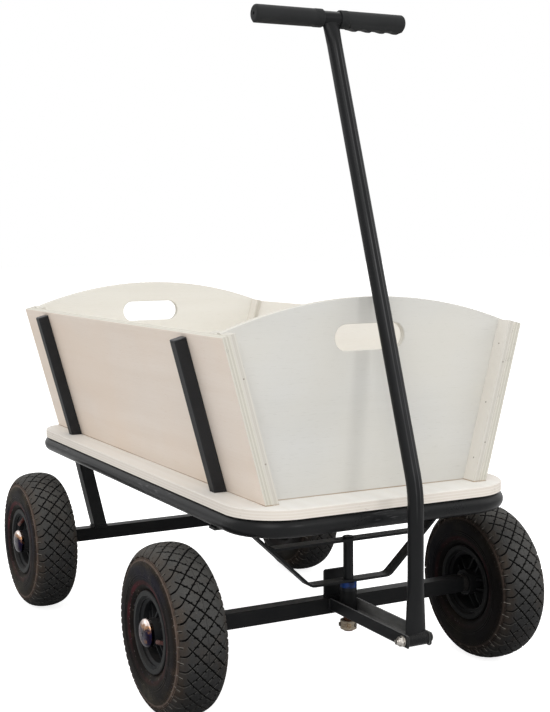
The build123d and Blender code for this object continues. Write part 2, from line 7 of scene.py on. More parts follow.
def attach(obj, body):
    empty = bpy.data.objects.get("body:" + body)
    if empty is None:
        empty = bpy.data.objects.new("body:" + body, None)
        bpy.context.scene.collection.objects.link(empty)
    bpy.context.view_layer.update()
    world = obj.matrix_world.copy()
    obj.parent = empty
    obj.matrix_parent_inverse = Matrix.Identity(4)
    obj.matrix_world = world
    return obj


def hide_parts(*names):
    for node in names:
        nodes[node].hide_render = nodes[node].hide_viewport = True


random.seed(11)
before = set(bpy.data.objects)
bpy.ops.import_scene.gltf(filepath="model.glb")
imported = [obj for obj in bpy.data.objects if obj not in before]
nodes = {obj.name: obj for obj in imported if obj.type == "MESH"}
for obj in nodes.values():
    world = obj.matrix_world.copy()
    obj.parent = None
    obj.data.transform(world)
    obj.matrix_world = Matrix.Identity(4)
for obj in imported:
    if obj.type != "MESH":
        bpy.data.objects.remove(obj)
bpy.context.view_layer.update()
scene = bpy.context.scene
scene.view_settings.view_transform = "Standard"
print("frame loaded")


def deselectAll():
    if bpy.context.object and bpy.context.object.mode != "OBJECT":
        bpy.ops.object.mode_set(mode="OBJECT")
    bpy.ops.object.select_all(action="DESELECT")


def pick(*pieces):
    deselectAll()
    for piece in pieces:
        piece.select_set(True)
    bpy.context.view_layer.objects.active = pieces[0]
    return pieces[0]


def named(name):
    piece = bpy.context.object
    piece.name = name
    piece.data.name = name
    return piece


def joined(name, pieces):
    pick(*pieces)
    bpy.ops.object.join()
    return named(name)


def modified(piece, kind, **values):
    pick(piece)
    modifier = piece.modifiers.new(kind.lower(), kind)
    for key, value in values.items():
        setattr(modifier, key, value)
    bpy.ops.object.modifier_apply(modifier=modifier.name)
    return piece


def smoothed(piece, degrees=35):
    pick(piece)
    bpy.ops.object.shade_smooth_by_angle(angle=math.radians(degrees))
    return piece


def copied(piece, name, move=(0, 0, 0), matrix=None):
    twin = piece.copy()
    twin.data = piece.data.copy()
    twin.name = name
    twin.data.name = name
    scene.collection.objects.link(twin)
    twin.data.transform(matrix or Matrix.Translation(move))
    if matrix and matrix.determinant() < 0:
        twin.data.flip_normals()
    return twin


def lathed(name, outline, steps, centre=(0, 0, 0)):
    # outline of (x, radius) points turned about an axle along X
    deselectAll()
    bpy.ops.mesh.primitive_circle_add(vertices=len(outline), radius=0.01)
    piece = named(name)
    for vertex, (x, radius) in zip(piece.data.vertices, outline):
        vertex.co = (x, 0, radius)
    bpy.ops.object.mode_set(mode="EDIT")
    bpy.ops.mesh.select_all(action="SELECT")
    bpy.ops.mesh.spin(steps=steps, angle=2 * math.pi, center=(0, 0, 0), axis=(1, 0, 0))
    bpy.ops.mesh.select_all(action="SELECT")
    bpy.ops.mesh.remove_doubles(threshold=1e-6)
    bpy.ops.mesh.dissolve_degenerate(threshold=1e-7)
    bpy.ops.mesh.delete_loose(use_verts=True, use_edges=True, use_faces=False)
    bpy.ops.mesh.select_all(action="SELECT")
    bpy.ops.mesh.normals_make_consistent(inside=False)
    bpy.ops.object.mode_set(mode="OBJECT")
    piece.data.transform(Matrix.Translation(centre))
    return piece


cameraView = {
    "place": (-1.01411, -1.97965, 0.71030),
    "yaw": 0.456740, "pitch": 0.092760, "roll": -0.011834,
    "lens": 63.41, "shift": 0.06318,
}


def addCamera(view):
    yaw, pitch, roll = view["yaw"], view["pitch"], view["roll"]
    ahead = Vector((math.sin(yaw) * math.cos(pitch), math.cos(yaw) * math.cos(pitch), -math.sin(pitch)))
    level = Vector((math.cos(yaw), -math.sin(yaw), 0))
    over = level.cross(ahead)
    right = level * math.cos(roll) + over * math.sin(roll)
    up = over * math.cos(roll) - level * math.sin(roll)
    turn = Matrix((right, up, -ahead)).transposed().to_4x4()
    data = bpy.data.cameras.new("studioCamera")
    data.lens = view["lens"]
    data.sensor_width = 36
    data.shift_x = view["shift"]
    data.clip_end = 100
    camera = bpy.data.objects.new("studioCamera", data)
    camera.matrix_world = Matrix.Translation(view["place"]) @ turn
    scene.collection.objects.link(camera)
    scene.camera = camera


addCamera(cameraView)
print("camera ready")


def colourOf(node):
    if node.bl_idname == "ShaderNodeMix":
        return node.outputs[2]
    return node.outputs.get("Color") or node.outputs[0]


def feed(tree, node, socket, value):
    # links a node or one of its outputs to a socket, or sets a plain value there
    target = node.inputs[socket]
    if isinstance(value, bpy.types.Node):
        value = colourOf(value) if target.type == "RGBA" else value.outputs[0]
    if isinstance(value, bpy.types.NodeSocket):
        tree.links.new(value, target)
    elif target.type == "RGBA":
        target.default_value = (*value[:3], 1)
    else:
        target.default_value = value


def put(tree, kind, settings=None, **sockets):
    node = tree.nodes.new("ShaderNode" + kind)
    for key, value in (settings or {}).items():
        setattr(node, key, value)
    for key, value in sockets.items():
        feed(tree, node, key.replace("_", " "), value)
    return node


def sums(tree, operation, *values, clamp=False):
    node = put(tree, "Math", {"operation": operation, "use_clamp": clamp})
    for i, value in enumerate(values):
        feed(tree, node, i, value)
    return node


def times(tree, product, *others):
    for other in others:
        product = sums(tree, "MULTIPLY", product, other)
    return product


def awayFrom(tree, value, middle):
    return sums(tree, "ABSOLUTE", sums(tree, "SUBTRACT", value, middle))


def spread(tree, value, low, high, toLow=0.0, toHigh=1.0, smooth=False):
    # runs from toLow to toHigh as the value goes from low to high
    kind = "SMOOTHSTEP" if smooth else "LINEAR"
    node = put(tree, "MapRange", {"interpolation_type": kind, "clamp": True}, Value=value)
    for i, number in enumerate((low, high, toLow, toHigh), 1):
        feed(tree, node, i, number)
    return node


def between(tree, value, start, full, fading, gone):
    # one from full to fading, and nothing before start or after gone
    return times(tree, spread(tree, value, start, full), spread(tree, value, gone, fading))


def tinted(tree, factor, a, b, how="MIX"):
    node = put(tree, "Mix", {"data_type": "RGBA", "blend_type": how})
    for i, value in ((0, factor), (6, a), (7, b)):
        feed(tree, node, i, value)
    return node


def dotted(tree, a, b):
    node = put(tree, "VectorMath", {"operation": "DOT_PRODUCT"})
    feed(tree, node, 0, a)
    feed(tree, node, 1, b)
    return node.outputs["Value"]


def axes(tree, vector):
    return put(tree, "SeparateXYZ", Vector=vector).outputs


def noiseAt(tree, spot, scale, detail, **more):
    # scale is one number, or three for a pattern drawn out along an axis
    if isinstance(scale, tuple):
        spot, scale = put(tree, "Mapping", Vector=spot, Scale=scale), 1.0
    return put(tree, "TexNoise", Vector=spot, Scale=scale, Detail=detail, **more)


def scaled(colour, factor):
    return tuple(c * factor for c in colour)


studio = {
    "sky": 0.58, "floorColour": (0.80, 0.80, 0.80), "floorLift": 0.84, "floorSize": 60,
    "lamps": {
        # name: (place, aimed at, size, watts)
        "keyLamp": ((-1.9, -2.6, 2.9), (0, 0, 0.35), 2.6, 43),
        "fillLamp": ((2.9, -1.9, 1.9), (0, 0, 0.4), 2.4, 17),
        "topLamp": ((0.3, 0.6, 3.4), (0, 0, 0.4), 3.0, 35),
        "backLamp": ((-2.6, 2.4, 2.2), (0, 0, 0.4), 2.2, 14),
        "frontLamp": ((0.68, -2.75, 1.6), (0, -0.2, 0.45), 0.50, 8),
    },
}


def addWorld(sky):
    # white wherever the camera, a mirror or glass looks, and the sky's strength for all other light
    world = bpy.data.worlds.new("studioWorld")
    scene.world = world
    world.use_nodes = True
    tree = world.node_tree
    tree.nodes.clear()
    path = put(tree, "LightPath").outputs
    seen = sums(tree, "MAXIMUM", path["Is Camera Ray"], path["Is Glossy Ray"])
    seen = sums(tree, "MAXIMUM", seen, path["Is Transmission Ray"])
    mix = put(tree, "MixShader")
    feed(tree, mix, 0, seen)
    feed(tree, mix, 1, put(tree, "Background", Color=(1, 1, 1), Strength=sky))
    feed(tree, mix, 2, put(tree, "Background", Color=(1, 1, 1), Strength=1.0))
    put(tree, "OutputWorld", Surface=mix)


def addFloor(values):
    bpy.ops.mesh.primitive_plane_add(size=values["floorSize"], location=(0, 0, 0))
    floor = named("studioFloor")
    material = bpy.data.materials.new("paleFloor")
    material.use_nodes = True
    tree = material.node_tree
    shader = tree.nodes["Principled BSDF"]
    feed(tree, shader, "Base Color", values["floorColour"])
    feed(tree, shader, "Roughness", 0.9)
    feed(tree, shader, "Specular IOR Level", 0.0)
    # the lift is for the camera alone, so that the floor does not shine up into the tyres
    seen = put(tree, "LightPath").outputs["Is Camera Ray"]
    feed(tree, shader, "Emission Color", (1, 1, 1))
    feed(tree, shader, "Emission Strength", times(tree, seen, values["floorLift"]))
    floor.data.materials.append(material)


def addLamps(lamps):
    for name, (place, aim, size, watts) in lamps.items():
        data = bpy.data.lights.new(name, "AREA")
        data.shape = "DISK"
        data.size = size
        data.energy = watts
        lamp = bpy.data.objects.new(name, data)
        lamp.location = place
        lamp.rotation_euler = (Vector(aim) - Vector(place)).to_track_quat("-Z", "Y").to_euler()
        scene.collection.objects.link(lamp)


addWorld(studio["sky"])
addFloor(studio)
addLamps(studio["lamps"])
print("studio ready")


def newGroup(name, inputs, outputs):
    # an effect that several finishes use: its tree, what it is given, and the node its results go to
    tree = bpy.data.node_groups.new(name, "ShaderNodeTree")
    kinds = {"f": "NodeSocketFloat", "c": "NodeSocketColor", "v": "NodeSocketVector"}
    for label, kind, value in inputs:
        socket = tree.interface.new_socket(label, in_out="INPUT", socket_type=kinds[kind])
        if value is not None:
            socket.default_value = value
    for label, kind in outputs:
        tree.interface.new_socket(label, in_out="OUTPUT", socket_type=kinds[kind])
    given = tree.nodes.new("NodeGroupInput").outputs
    return tree, given, tree.nodes.new("NodeGroupOutput")


def useGroup(tree, group, **sockets):
    node = tree.nodes.new("ShaderNodeGroup")
    node.node_tree = group
    for key, value in sockets.items():
        feed(tree, node, key, value)
    return node


def edgeWearGroup():
    # mask of convex edges, broken up by noise
    tree, given, out = newGroup("edgeWear", [
        ("Position", "v", None), ("Width", "f", 0.0012), ("Break", "f", 60.0), ("Amount", "f", 0.5),
    ], [("Mask", "f")])
    bevel = put(tree, "Bevel", {"samples": 4}, Radius=given["Width"])
    edge = dotted(tree, bevel, put(tree, "NewGeometry").outputs["Normal"])
    broken = noiseAt(tree, given["Position"], given["Break"], 4.0)
    mask = times(tree, spread(tree, edge, 0.995, 0.88), spread(tree, broken, 0.42, 0.62))
    feed(tree, out, "Mask", sums(tree, "MULTIPLY", mask, given["Amount"], clamp=True))
    return tree


def dustGroup():
    # dry dust on upward faces and near the ground
    tree, given, out = newGroup("dryDust", [
        ("Position", "v", None), ("Normal", "v", None), ("Low", "f", 0.0), ("High", "f", 0.3),
        ("Amount", "f", 0.5),
    ], [("Mask", "f")])
    upward = spread(tree, axes(tree, given["Normal"])[2], 0.2, 1.0, 0.25, 1.0)
    near = spread(tree, axes(tree, given["Position"])[2], given["Low"], given["High"], 1.0, 0.25)
    cloudy = spread(tree, noiseAt(tree, given["Position"], 22.0, 6.0, Roughness=0.65), 0.38, 0.72)
    gritty = spread(tree, noiseAt(tree, given["Position"], 420.0, 2.0), 0.35, 0.65, 0.5, 1.0)
    mask = times(tree, upward, near, cloudy, gritty)
    feed(tree, out, "Mask", sums(tree, "MULTIPLY", mask, given["Amount"], clamp=True))
    return tree


def fineGrainGroup():
    # fine grain of a coat or moulding: a tone and a height
    tree, given, out = newGroup("fineGrain", [
        ("Position", "v", None), ("Size", "f", 700.0), ("Patch", "f", 9.0),
    ], [("Tone", "f"), ("Height", "f")])
    fine = noiseAt(tree, given["Position"], given["Size"], 3.0, Roughness=0.6)
    broad = noiseAt(tree, given["Position"], given["Patch"], 5.0, Roughness=0.6)
    feed(tree, out, "Tone", sums(tree, "MULTIPLY_ADD", fine, 0.4, times(tree, broad, 0.6)))
    feed(tree, out, "Height", fine)
    return tree


def birchGroup():
    # face veneer of whitewashed birch; Along is the board's own position with its grain on X
    tree, given, out = newGroup("birchVeneer", [
        ("Along", "v", None), ("Light", "c", (0.8, 0.78, 0.74, 1)), ("Dark", "c", (0.7, 0.64, 0.56, 1)),
        ("Figure", "f", 0.5), ("Fleck", "f", 0.35),
    ], [("Color", "c"), ("Height", "f"), ("Tone", "f")])
    along = given["Along"]
    wander = noiseAt(tree, along, (1.6, 22.0, 22.0), 5.0, Roughness=0.6, Distortion=1.2)
    drawnOut = put(tree, "Mapping", Vector=along, Scale=(0.55, 9.0, 9.0))
    rings = put(tree, "TexWave", {"wave_type": "BANDS", "bands_direction": "Y"}, Vector=drawnOut,
                Scale=1.1, Distortion=9.0, Detail=3.0, Detail_Scale=0.9)
    fibre = noiseAt(tree, along, (14.0, 420.0, 420.0), 4.0, Roughness=0.7)
    fleck = spread(tree, noiseAt(tree, along, (75.0, 900.0, 900.0), 2.0), 0.62, 0.76)
    cloud = noiseAt(tree, along, 4.5, 4.0, Roughness=0.55)
    tone = times(tree, wander, 0.45)
    for pattern, share in ((rings.outputs[1], given["Figure"]), (fibre, 0.35), (cloud, 0.5)):
        tone = sums(tree, "MULTIPLY_ADD", pattern, share, tone)
    tone = spread(tree, tone, 0.45, 1.25)
    colour = tinted(tree, tone, given["Light"], given["Dark"])
    colour = tinted(tree, times(tree, fleck, given["Fleck"]), colour, given["Dark"], "MULTIPLY")
    feed(tree, out, "Color", colour)
    feed(tree, out, "Height", sums(tree, "MULTIPLY_ADD", fleck, -0.6, times(tree, fibre, 0.5)))
    feed(tree, out, "Tone", tone)
    return tree


def plyEdgeGroup():
    # sawn edge of the plywood: Depth runs 0 to 1 through the board
    tree, given, out = newGroup("plyEdge", [
        ("Position", "v", None), ("Depth", "f", 0.5), ("Plies", "f", 9.0),
        ("Light", "c", (0.8, 0.76, 0.68, 1)), ("Dark", "c", (0.5, 0.44, 0.34, 1)), ("Glue", "f", 0.42),
    ], [("Color", "c"), ("Height", "f")])
    spot = given["Position"]
    shift = spread(tree, noiseAt(tree, spot, 14.0, 2.0), 0.3, 0.7, -0.05, 0.05)
    layer = sums(tree, "MULTIPLY_ADD", given["Depth"], given["Plies"], shift)
    parity = sums(tree, "MODULO", sums(tree, "FLOOR", layer), 2.0)
    # a glue line at each joint, with a few voids in it
    glue = spread(tree, awayFrom(tree, sums(tree, "FRACT", layer), 0.5), 0.40, 0.49)
    endGrain = spread(tree, noiseAt(tree, spot, (900, 900, 900), 2.0), 0.3, 0.7)
    gap = times(tree, spread(tree, noiseAt(tree, spot, (55, 55, 55), 2.0), 0.66, 0.72), glue)
    across = sums(tree, "MULTIPLY_ADD", endGrain, 0.25, times(tree, parity, 0.55))
    colour = tinted(tree, across, given["Light"], given["Dark"])
    colour = tinted(tree, times(tree, glue, given["Glue"]), colour, (0.33, 0.27, 0.19))
    colour = tinted(tree, gap, colour, (0.09, 0.07, 0.05))
    height = sums(tree, "MULTIPLY_ADD", glue, -0.5, times(tree, endGrain, 0.5))
    feed(tree, out, "Color", colour)
    feed(tree, out, "Height", sums(tree, "SUBTRACT", height, gap))
    return tree


edgeWear = edgeWearGroup()
dryDust = dustGroup()
fineGrain = fineGrainGroup()
birchVeneer = birchGroup()
plyEdge = plyEdgeGroup()


def newFinish(name, **sockets):
    material = bpy.data.materials.new(name)
    material.use_nodes = True
    tree = material.node_tree
    shader = tree.nodes["Principled BSDF"]
    for key, value in sockets.items():
        feed(tree, shader, key.replace("_", " "), value)
    where = put(tree, "TexCoord").outputs
    return material, tree, shader, where["Object"], where["Normal"]


def toned(tree, grain, toLow=0.0, toHigh=1.0):
    return spread(tree, grain.outputs["Tone"], 0.3, 0.7, toLow, toHigh)


def dress(tree, shader, colour, rough, height, strength, distance):
    feed(tree, shader, "Base Color", colour)
    feed(tree, shader, "Roughness", rough)
    feed(tree, shader, "Normal", put(tree, "Bump", Strength=strength, Distance=distance, Height=height))


def paint(piece, material):
    piece.data.materials.clear()
    piece.data.materials.append(material)


wheelPlaces = {"frontAxle": -0.29295, "rearAxle": 0.35505, "height": 0.130, "track": 0.287}
handleLean = math.radians(18.46)

blackCoat = {
    "colour": (0.0112, 0.0118, 0.0127), "worn": (0.042, 0.043, 0.045), "dust": (0.13, 0.112, 0.093),
    "gloss": 0.40, "specular": 0.12, "grain": 620.0, "edge": 0.50, "dustAmount": 0.24, "bump": 0.12,
    # how far the tone strays either way, how strong the knocks are, and how strong the painted highlight
    # lines are
    "spread": 0.29, "scuff": 0.0, "highlightStreak": 0.0,
}


def coatFinish(name, values):
    material, tree, shader, spot, normal = newFinish(name, Specular_IOR_Level=values["specular"])
    grain = useGroup(tree, fineGrain, Position=spot, Size=values["grain"], Patch=11.0)
    worn = useGroup(tree, edgeWear, Position=spot, Width=0.0011, Break=70.0, Amount=values["edge"])
    dust = useGroup(tree, dryDust, Position=spot, Normal=normal, Low=0.05, High=0.30,
                    Amount=values["dustAmount"])
    dark = scaled(values["colour"], 1 - values["spread"])
    light = scaled(values["colour"], 1 + values["spread"])
    colour = tinted(tree, toned(tree, grain), dark, light)
    if values["scuff"]:
        # short pale rubs where the tube has been knocked
        marks = spread(tree, noiseAt(tree, spot, (42.0, 42.0, 420.0), 3.0), 0.56, 0.66)
        knocks = spread(tree, noiseAt(tree, spot, 7.5, 2.0), 0.52, 0.64, 0.0, values["scuff"])
        colour = tinted(tree, times(tree, marks, knocks), colour, values["worn"])
    if values["highlightStreak"]:
        # painted highlight: thin pale lines along the tube, at fixed places across it
        alongTube = put(tree, "Mapping", {"vector_type": "TEXTURE"}, Vector=spot,
                    Rotation=(-values["lean"], 0, 0), Scale=(0.010, 0.010, 0.16))
        broken = noiseAt(tree, alongTube, 1.0, 3.0, Roughness=0.6)
        across, along, z = axes(tree, spot)
        lines = [spread(tree, awayFrom(tree, across, line), 0.0012, 0.0004)
                 for line in values["lines"]]
        thin = times(tree, sums(tree, "MAXIMUM", *lines),
                     spread(tree, broken, 0.34, 0.60, 0.25 * values["highlightStreak"], values["highlightStreak"]),
                     spread(tree, z, 0.30, 0.38), spread(tree, z, 1.020, 0.985))
        colour = tinted(tree, thin, colour, values["worn"])
    colour = tinted(tree, worn, colour, values["worn"])
    colour = tinted(tree, dust, colour, values["dust"])
    rough = toned(tree, grain, values["gloss"] - 0.05, values["gloss"] + 0.07)
    rough = sums(tree, "MULTIPLY_ADD", dust, 0.35, rough, clamp=True)
    dress(tree, shader, colour, rough, grain.outputs["Height"], values["bump"], 0.0004)
    return material


coatBlack = coatFinish("blackPowderCoat", blackCoat)
coatRing = coatFinish("ringCoat", dict(
    blackCoat, colour=(0.0092, 0.0096, 0.0102), gloss=0.29, specular=0.15, bump=0.05, scuff=0.75,
    worn=(0.075, 0.075, 0.077)))
# painted light: the stakes get a lighter copy of the black coat
coatStakeLit = coatFinish("stakeCoatPaintedLight", dict(blackCoat, colour=(0.0235, 0.0240, 0.0255), specular=0.10))
# painted shade: the beams and the head tube get a darker copy of the black coat
coatBeamShaded = coatFinish("beamCoatPaintedShade", dict(
    blackCoat, colour=(0.0075, 0.0079, 0.0086), specular=0.09, dustAmount=0.14))
coatWeld = coatFinish("coatedWeld", dict(
    blackCoat, worn=(0.07, 0.07, 0.072), gloss=0.34, grain=380.0, edge=0.8))
coatSleeve = coatFinish("sleeveCoat", dict(
    blackCoat, colour=(0.0088, 0.0092, 0.0098), gloss=0.26, specular=0.13, edge=0.8))
coatHandle = coatFinish("handleCoat", dict(
    blackCoat, colour=(0.0108, 0.0112, 0.0119), gloss=0.31, specular=0.12, dustAmount=0.06, bump=0.03,
    spread=0.15, highlightStreak=0.75, lines=(-0.0048, 0.0012), lean=handleLean,
    worn=(0.085, 0.085, 0.087)))

# the tray's inside is painted pale grey as painted light, and its upper edges get a painted highlight
channelTray = {
    "half": 0.0182, "floor": 0.1258, "top": 0.1412, "dust": (0.205, 0.204, 0.198),
    "wearAndEdgeLight": (0.12, 0.12, 0.12), "topEdgeLight": 0.8,
}


def channelFinish(values):
    # the drawbar's coat, with its inside painted pale grey as painted light, and a painted highlight on its
    # upper edges together with their wear
    material, tree, shader, spot, normal = newFinish(
        "channelCoat", Specular_IOR_Level=blackCoat["specular"])
    grain = useGroup(tree, fineGrain, Position=spot, Size=blackCoat["grain"], Patch=30.0)
    worn = useGroup(tree, edgeWear, Position=spot, Width=0.0012, Break=70.0, Amount=0.75)
    x, y, z = axes(tree, spot)
    half, floor, top = values["half"], values["floor"], values["top"]
    inside = spread(tree, sums(tree, "ABSOLUTE", x), half + 0.0004, half - 0.0002)
    inside = times(tree, inside, spread(tree, z, floor - 0.0012, floor - 0.0004))
    streaks = noiseAt(tree, spot, (260.0, 14.0, 60.0), 5.0, Roughness=0.65)
    # painted light: the floor and inner walls of the tray are painted pale grey in streaks, as if lit
    dusty = times(tree, inside, spread(tree, streaks, 0.30, 0.68, 0.35, 1.0))
    upward = spread(tree, axes(tree, normal)[2], 0.4, 0.9)
    # painted highlight on the upward faces along the top of the walls
    edge = times(tree, spread(tree, z, top, top + 0.0008), upward, values["topEdgeLight"])
    colour = tinted(tree, toned(tree, grain), scaled(blackCoat["colour"], 0.75),
                    scaled(blackCoat["colour"], 1.3))
    colour = tinted(tree, dusty, colour, values["dust"])
    colour = tinted(tree, edge, colour, values["wearAndEdgeLight"])
    colour = tinted(tree, worn, colour, values["wearAndEdgeLight"])
    rough = sums(tree, "MULTIPLY_ADD", dusty, 0.3, toned(tree, grain, 0.34, 0.46), clamp=True)
    dress(tree, shader, colour, rough, grain.outputs["Height"], 0.15, 0.0004)
    return material


coatChannel = channelFinish(channelTray)

steels = {
    # colour, stain, roughness where it is smoothest, metal, scale of the stains
    "zincSteel": ((0.46, 0.44, 0.40), (0.20, 0.145, 0.09), 0.34, 0.9, 45.0),
    "dullZincCollar": ((0.40, 0.345, 0.265), (0.18, 0.115, 0.065), 0.5, 0.35, 45.0),
    # near-black steel for the stub axles
    "darkStubAxleSteel": ((0.030, 0.028, 0.026), (0.012, 0.010, 0.009), 0.42, 0.5, 45.0),
    "goldScrewSteel": ((0.40, 0.29, 0.17), (0.12, 0.075, 0.035), 0.3, 0.9, 220.0),
    "darkScrewSteel": ((0.10, 0.085, 0.07), (0.05, 0.035, 0.025), 0.4, 0.6, 45.0),
    "brightZinc": ((0.56, 0.53, 0.49), (0.11, 0.085, 0.065), 0.17, 1.0, 170.0),
    "boltHeadSteel": ((0.022, 0.021, 0.020), (0.012, 0.010, 0.008), 0.40, 0.5, 45.0),
    "dullNailSteel": ((0.36, 0.33, 0.29), (0.20, 0.13, 0.08), 0.5, 0.4, 45.0),
}


def steelFinish(name, colour, stain, gloss, metal, patch):
    material, tree, shader, spot, normal = newFinish(name, Metallic=metal)
    grain = useGroup(tree, fineGrain, Position=spot, Size=500.0, Patch=patch)
    lines = noiseAt(tree, spot, (900.0, 60.0, 60.0), 2.0)
    stained = spread(tree, grain.outputs["Tone"], 0.50, 0.66)
    mixed = tinted(tree, stained, colour, stain)
    mixed = tinted(tree, 0.5, mixed, spread(tree, lines, 0.35, 0.65, 0.85, 1.1), "MULTIPLY")
    rough = spread(tree, lines, 0.3, 0.7, gloss, gloss + 0.15)
    rough = sums(tree, "MULTIPLY_ADD", stained, 0.3, rough, clamp=True)
    dress(tree, shader, mixed, rough, grain.outputs["Height"], 0.2, 0.0004)
    return material


steel = {name: steelFinish(name, *values) for name, values in steels.items()}

kingpinGrease = {
    "below": 0.124, "full": 0.118, "brown": (0.13, 0.045, 0.018), "black": (0.035, 0.014, 0.008),
}


def greasedPin(values):
    material, tree, shader, spot, normal = newFinish("greasedPin", Specular_IOR_Level=0.13)
    grain = useGroup(tree, fineGrain, Position=spot, Size=300.0, Patch=60.0)
    low = spread(tree, axes(tree, spot)[2], values["below"], values["full"])
    mixed = spread(tree, grain.outputs["Tone"], 0.4, 0.6)
    grease = tinted(tree, mixed, values["brown"], values["black"])
    colour = tinted(tree, low, blackCoat["colour"], grease)
    dress(tree, shader, colour, toned(tree, grain, 0.25, 0.5), grain.outputs["Height"], 0.4, 0.0008)
    return material


pinFinish = greasedPin(kingpinGrease)

chromeReflectionPaint = {
    "highlight": (0.80, 0.70, 0.66), "rearBrown": (0.075, 0.046, 0.058), "dark": (0.014, 0.009, 0.017),
    "gold": (0.34, 0.16, 0.055), "blue": (0.010, 0.009, 0.034),
    "highlightFrom": 0.0078, "highlightTo": 0.0185, "rearBrownFrom": 0.00045, "rearBrownTo": 0.00845,
}


def chromeFinish(values):
    # pressed cap with its reflections painted in: a painted highlight above, a painted dark violet
    # reflection below, and painted gold where the two meet
    material, tree, shader, spot, normal = newFinish("chromePaintedReflection", Metallic=1.0)
    grain = useGroup(tree, fineGrain, Position=spot, Size=260.0, Patch=70.0)
    x, y, z = axes(tree, spot)
    # painted highlight: the cap is painted near white above a height over the axle
    high = sums(tree, "SUBTRACT", z, wheelPlaces["height"])
    high = sums(tree, "ADD", high, toned(tree, grain, -0.006, 0.006))
    highlight = spread(tree, high, values["highlightFrom"], values["highlightTo"], smooth=True)
    blotch = noiseAt(tree, spot, 95.0, 3.0)
    # painted dark reflection: lower down the cap is painted dark violet with blue blotches
    dull = tinted(tree, spread(tree, blotch, 0.42, 0.62), values["dark"], values["blue"])
    # painted reflection: a gold band where the highlight meets the dark, and gold blotches
    meeting = times(tree, highlight, sums(tree, "SUBTRACT", 1.0, highlight))
    meeting = sums(tree, "MULTIPLY", meeting, 3.4, clamp=True)
    colour = tinted(tree, highlight, dull, values["highlight"])
    colour = tinted(tree, meeting, colour, values["gold"])
    colour = tinted(tree, spread(tree, blotch, 0.60, 0.72, 0.0, 0.5), colour, values["gold"])
    # the rear half of each cap is painted darker brown
    rears = [spread(tree, y, axle + values["rearBrownFrom"], axle + values["rearBrownTo"])
             for axle in (wheelPlaces["frontAxle"], wheelPlaces["rearAxle"])]
    front = times(tree, rears[0], sums(tree, "LESS_THAN", y, 0.0))
    behind = times(tree, sums(tree, "MAXIMUM", front, rears[1]),
                   spread(tree, grain.outputs["Tone"], 0.38, 0.56, 0.25, 0.95))
    colour = tinted(tree, behind, colour, values["rearBrown"])
    rough = spread(tree, grain.outputs["Tone"], 0.4, 0.65, 0.16, 0.34)
    dress(tree, shader, colour, rough, grain.outputs["Tone"], 0.35, 0.002)
    return material


chromeCap = chromeFinish(chromeReflectionPaint)
print("metal finishes ready")

plywood = {
    # for each kind of board: the outer face light and dark, the inner face light and dark,
    # the edge light and dark, and the warm patches of heartwood
    "deck": ((0.90, 0.885, 0.85), (0.83, 0.80, 0.745), (0.90, 0.885, 0.85), (0.83, 0.80, 0.745),
             (0.86, 0.805, 0.735), (0.77, 0.70, 0.615), (0.86, 0.80, 0.70)),
    "side": ((0.865, 0.775, 0.692), (0.77, 0.655, 0.553), (0.88, 0.855, 0.800), (0.83, 0.790, 0.720),
             (0.72, 0.695, 0.620), (0.54, 0.515, 0.44), (0.85, 0.705, 0.580)),
    "end": ((0.705, 0.700, 0.675), (0.635, 0.627, 0.590), (0.86, 0.845, 0.795), (0.79, 0.765, 0.70),
            (0.77, 0.75, 0.69), (0.61, 0.575, 0.50), (0.72, 0.69, 0.61)),
    "batten": ((0.80, 0.765, 0.71), (0.72, 0.68, 0.61), (0.84, 0.81, 0.755), (0.77, 0.735, 0.67),
               (0.70, 0.675, 0.615), (0.58, 0.55, 0.49), (0.78, 0.70, 0.58)),
    "figure": 0.22, "fleck": 0.30, "plies": {"deck": 7, "side": 5, "end": 5, "batten": 3},
    "glue": {7: 0.20, 5: 0.32, 3: 0.28}, "foot": (0.36, 0.255, 0.165), "deckTop": 0.330,
    "lean": math.radians(15.06),
}
# how a pattern is turned so that its own X runs along the grain
grainTurns = {"X": (0, 0, 0), "Y": (0, 0, math.radians(-90)), "Z": (0, math.radians(90), 0)}


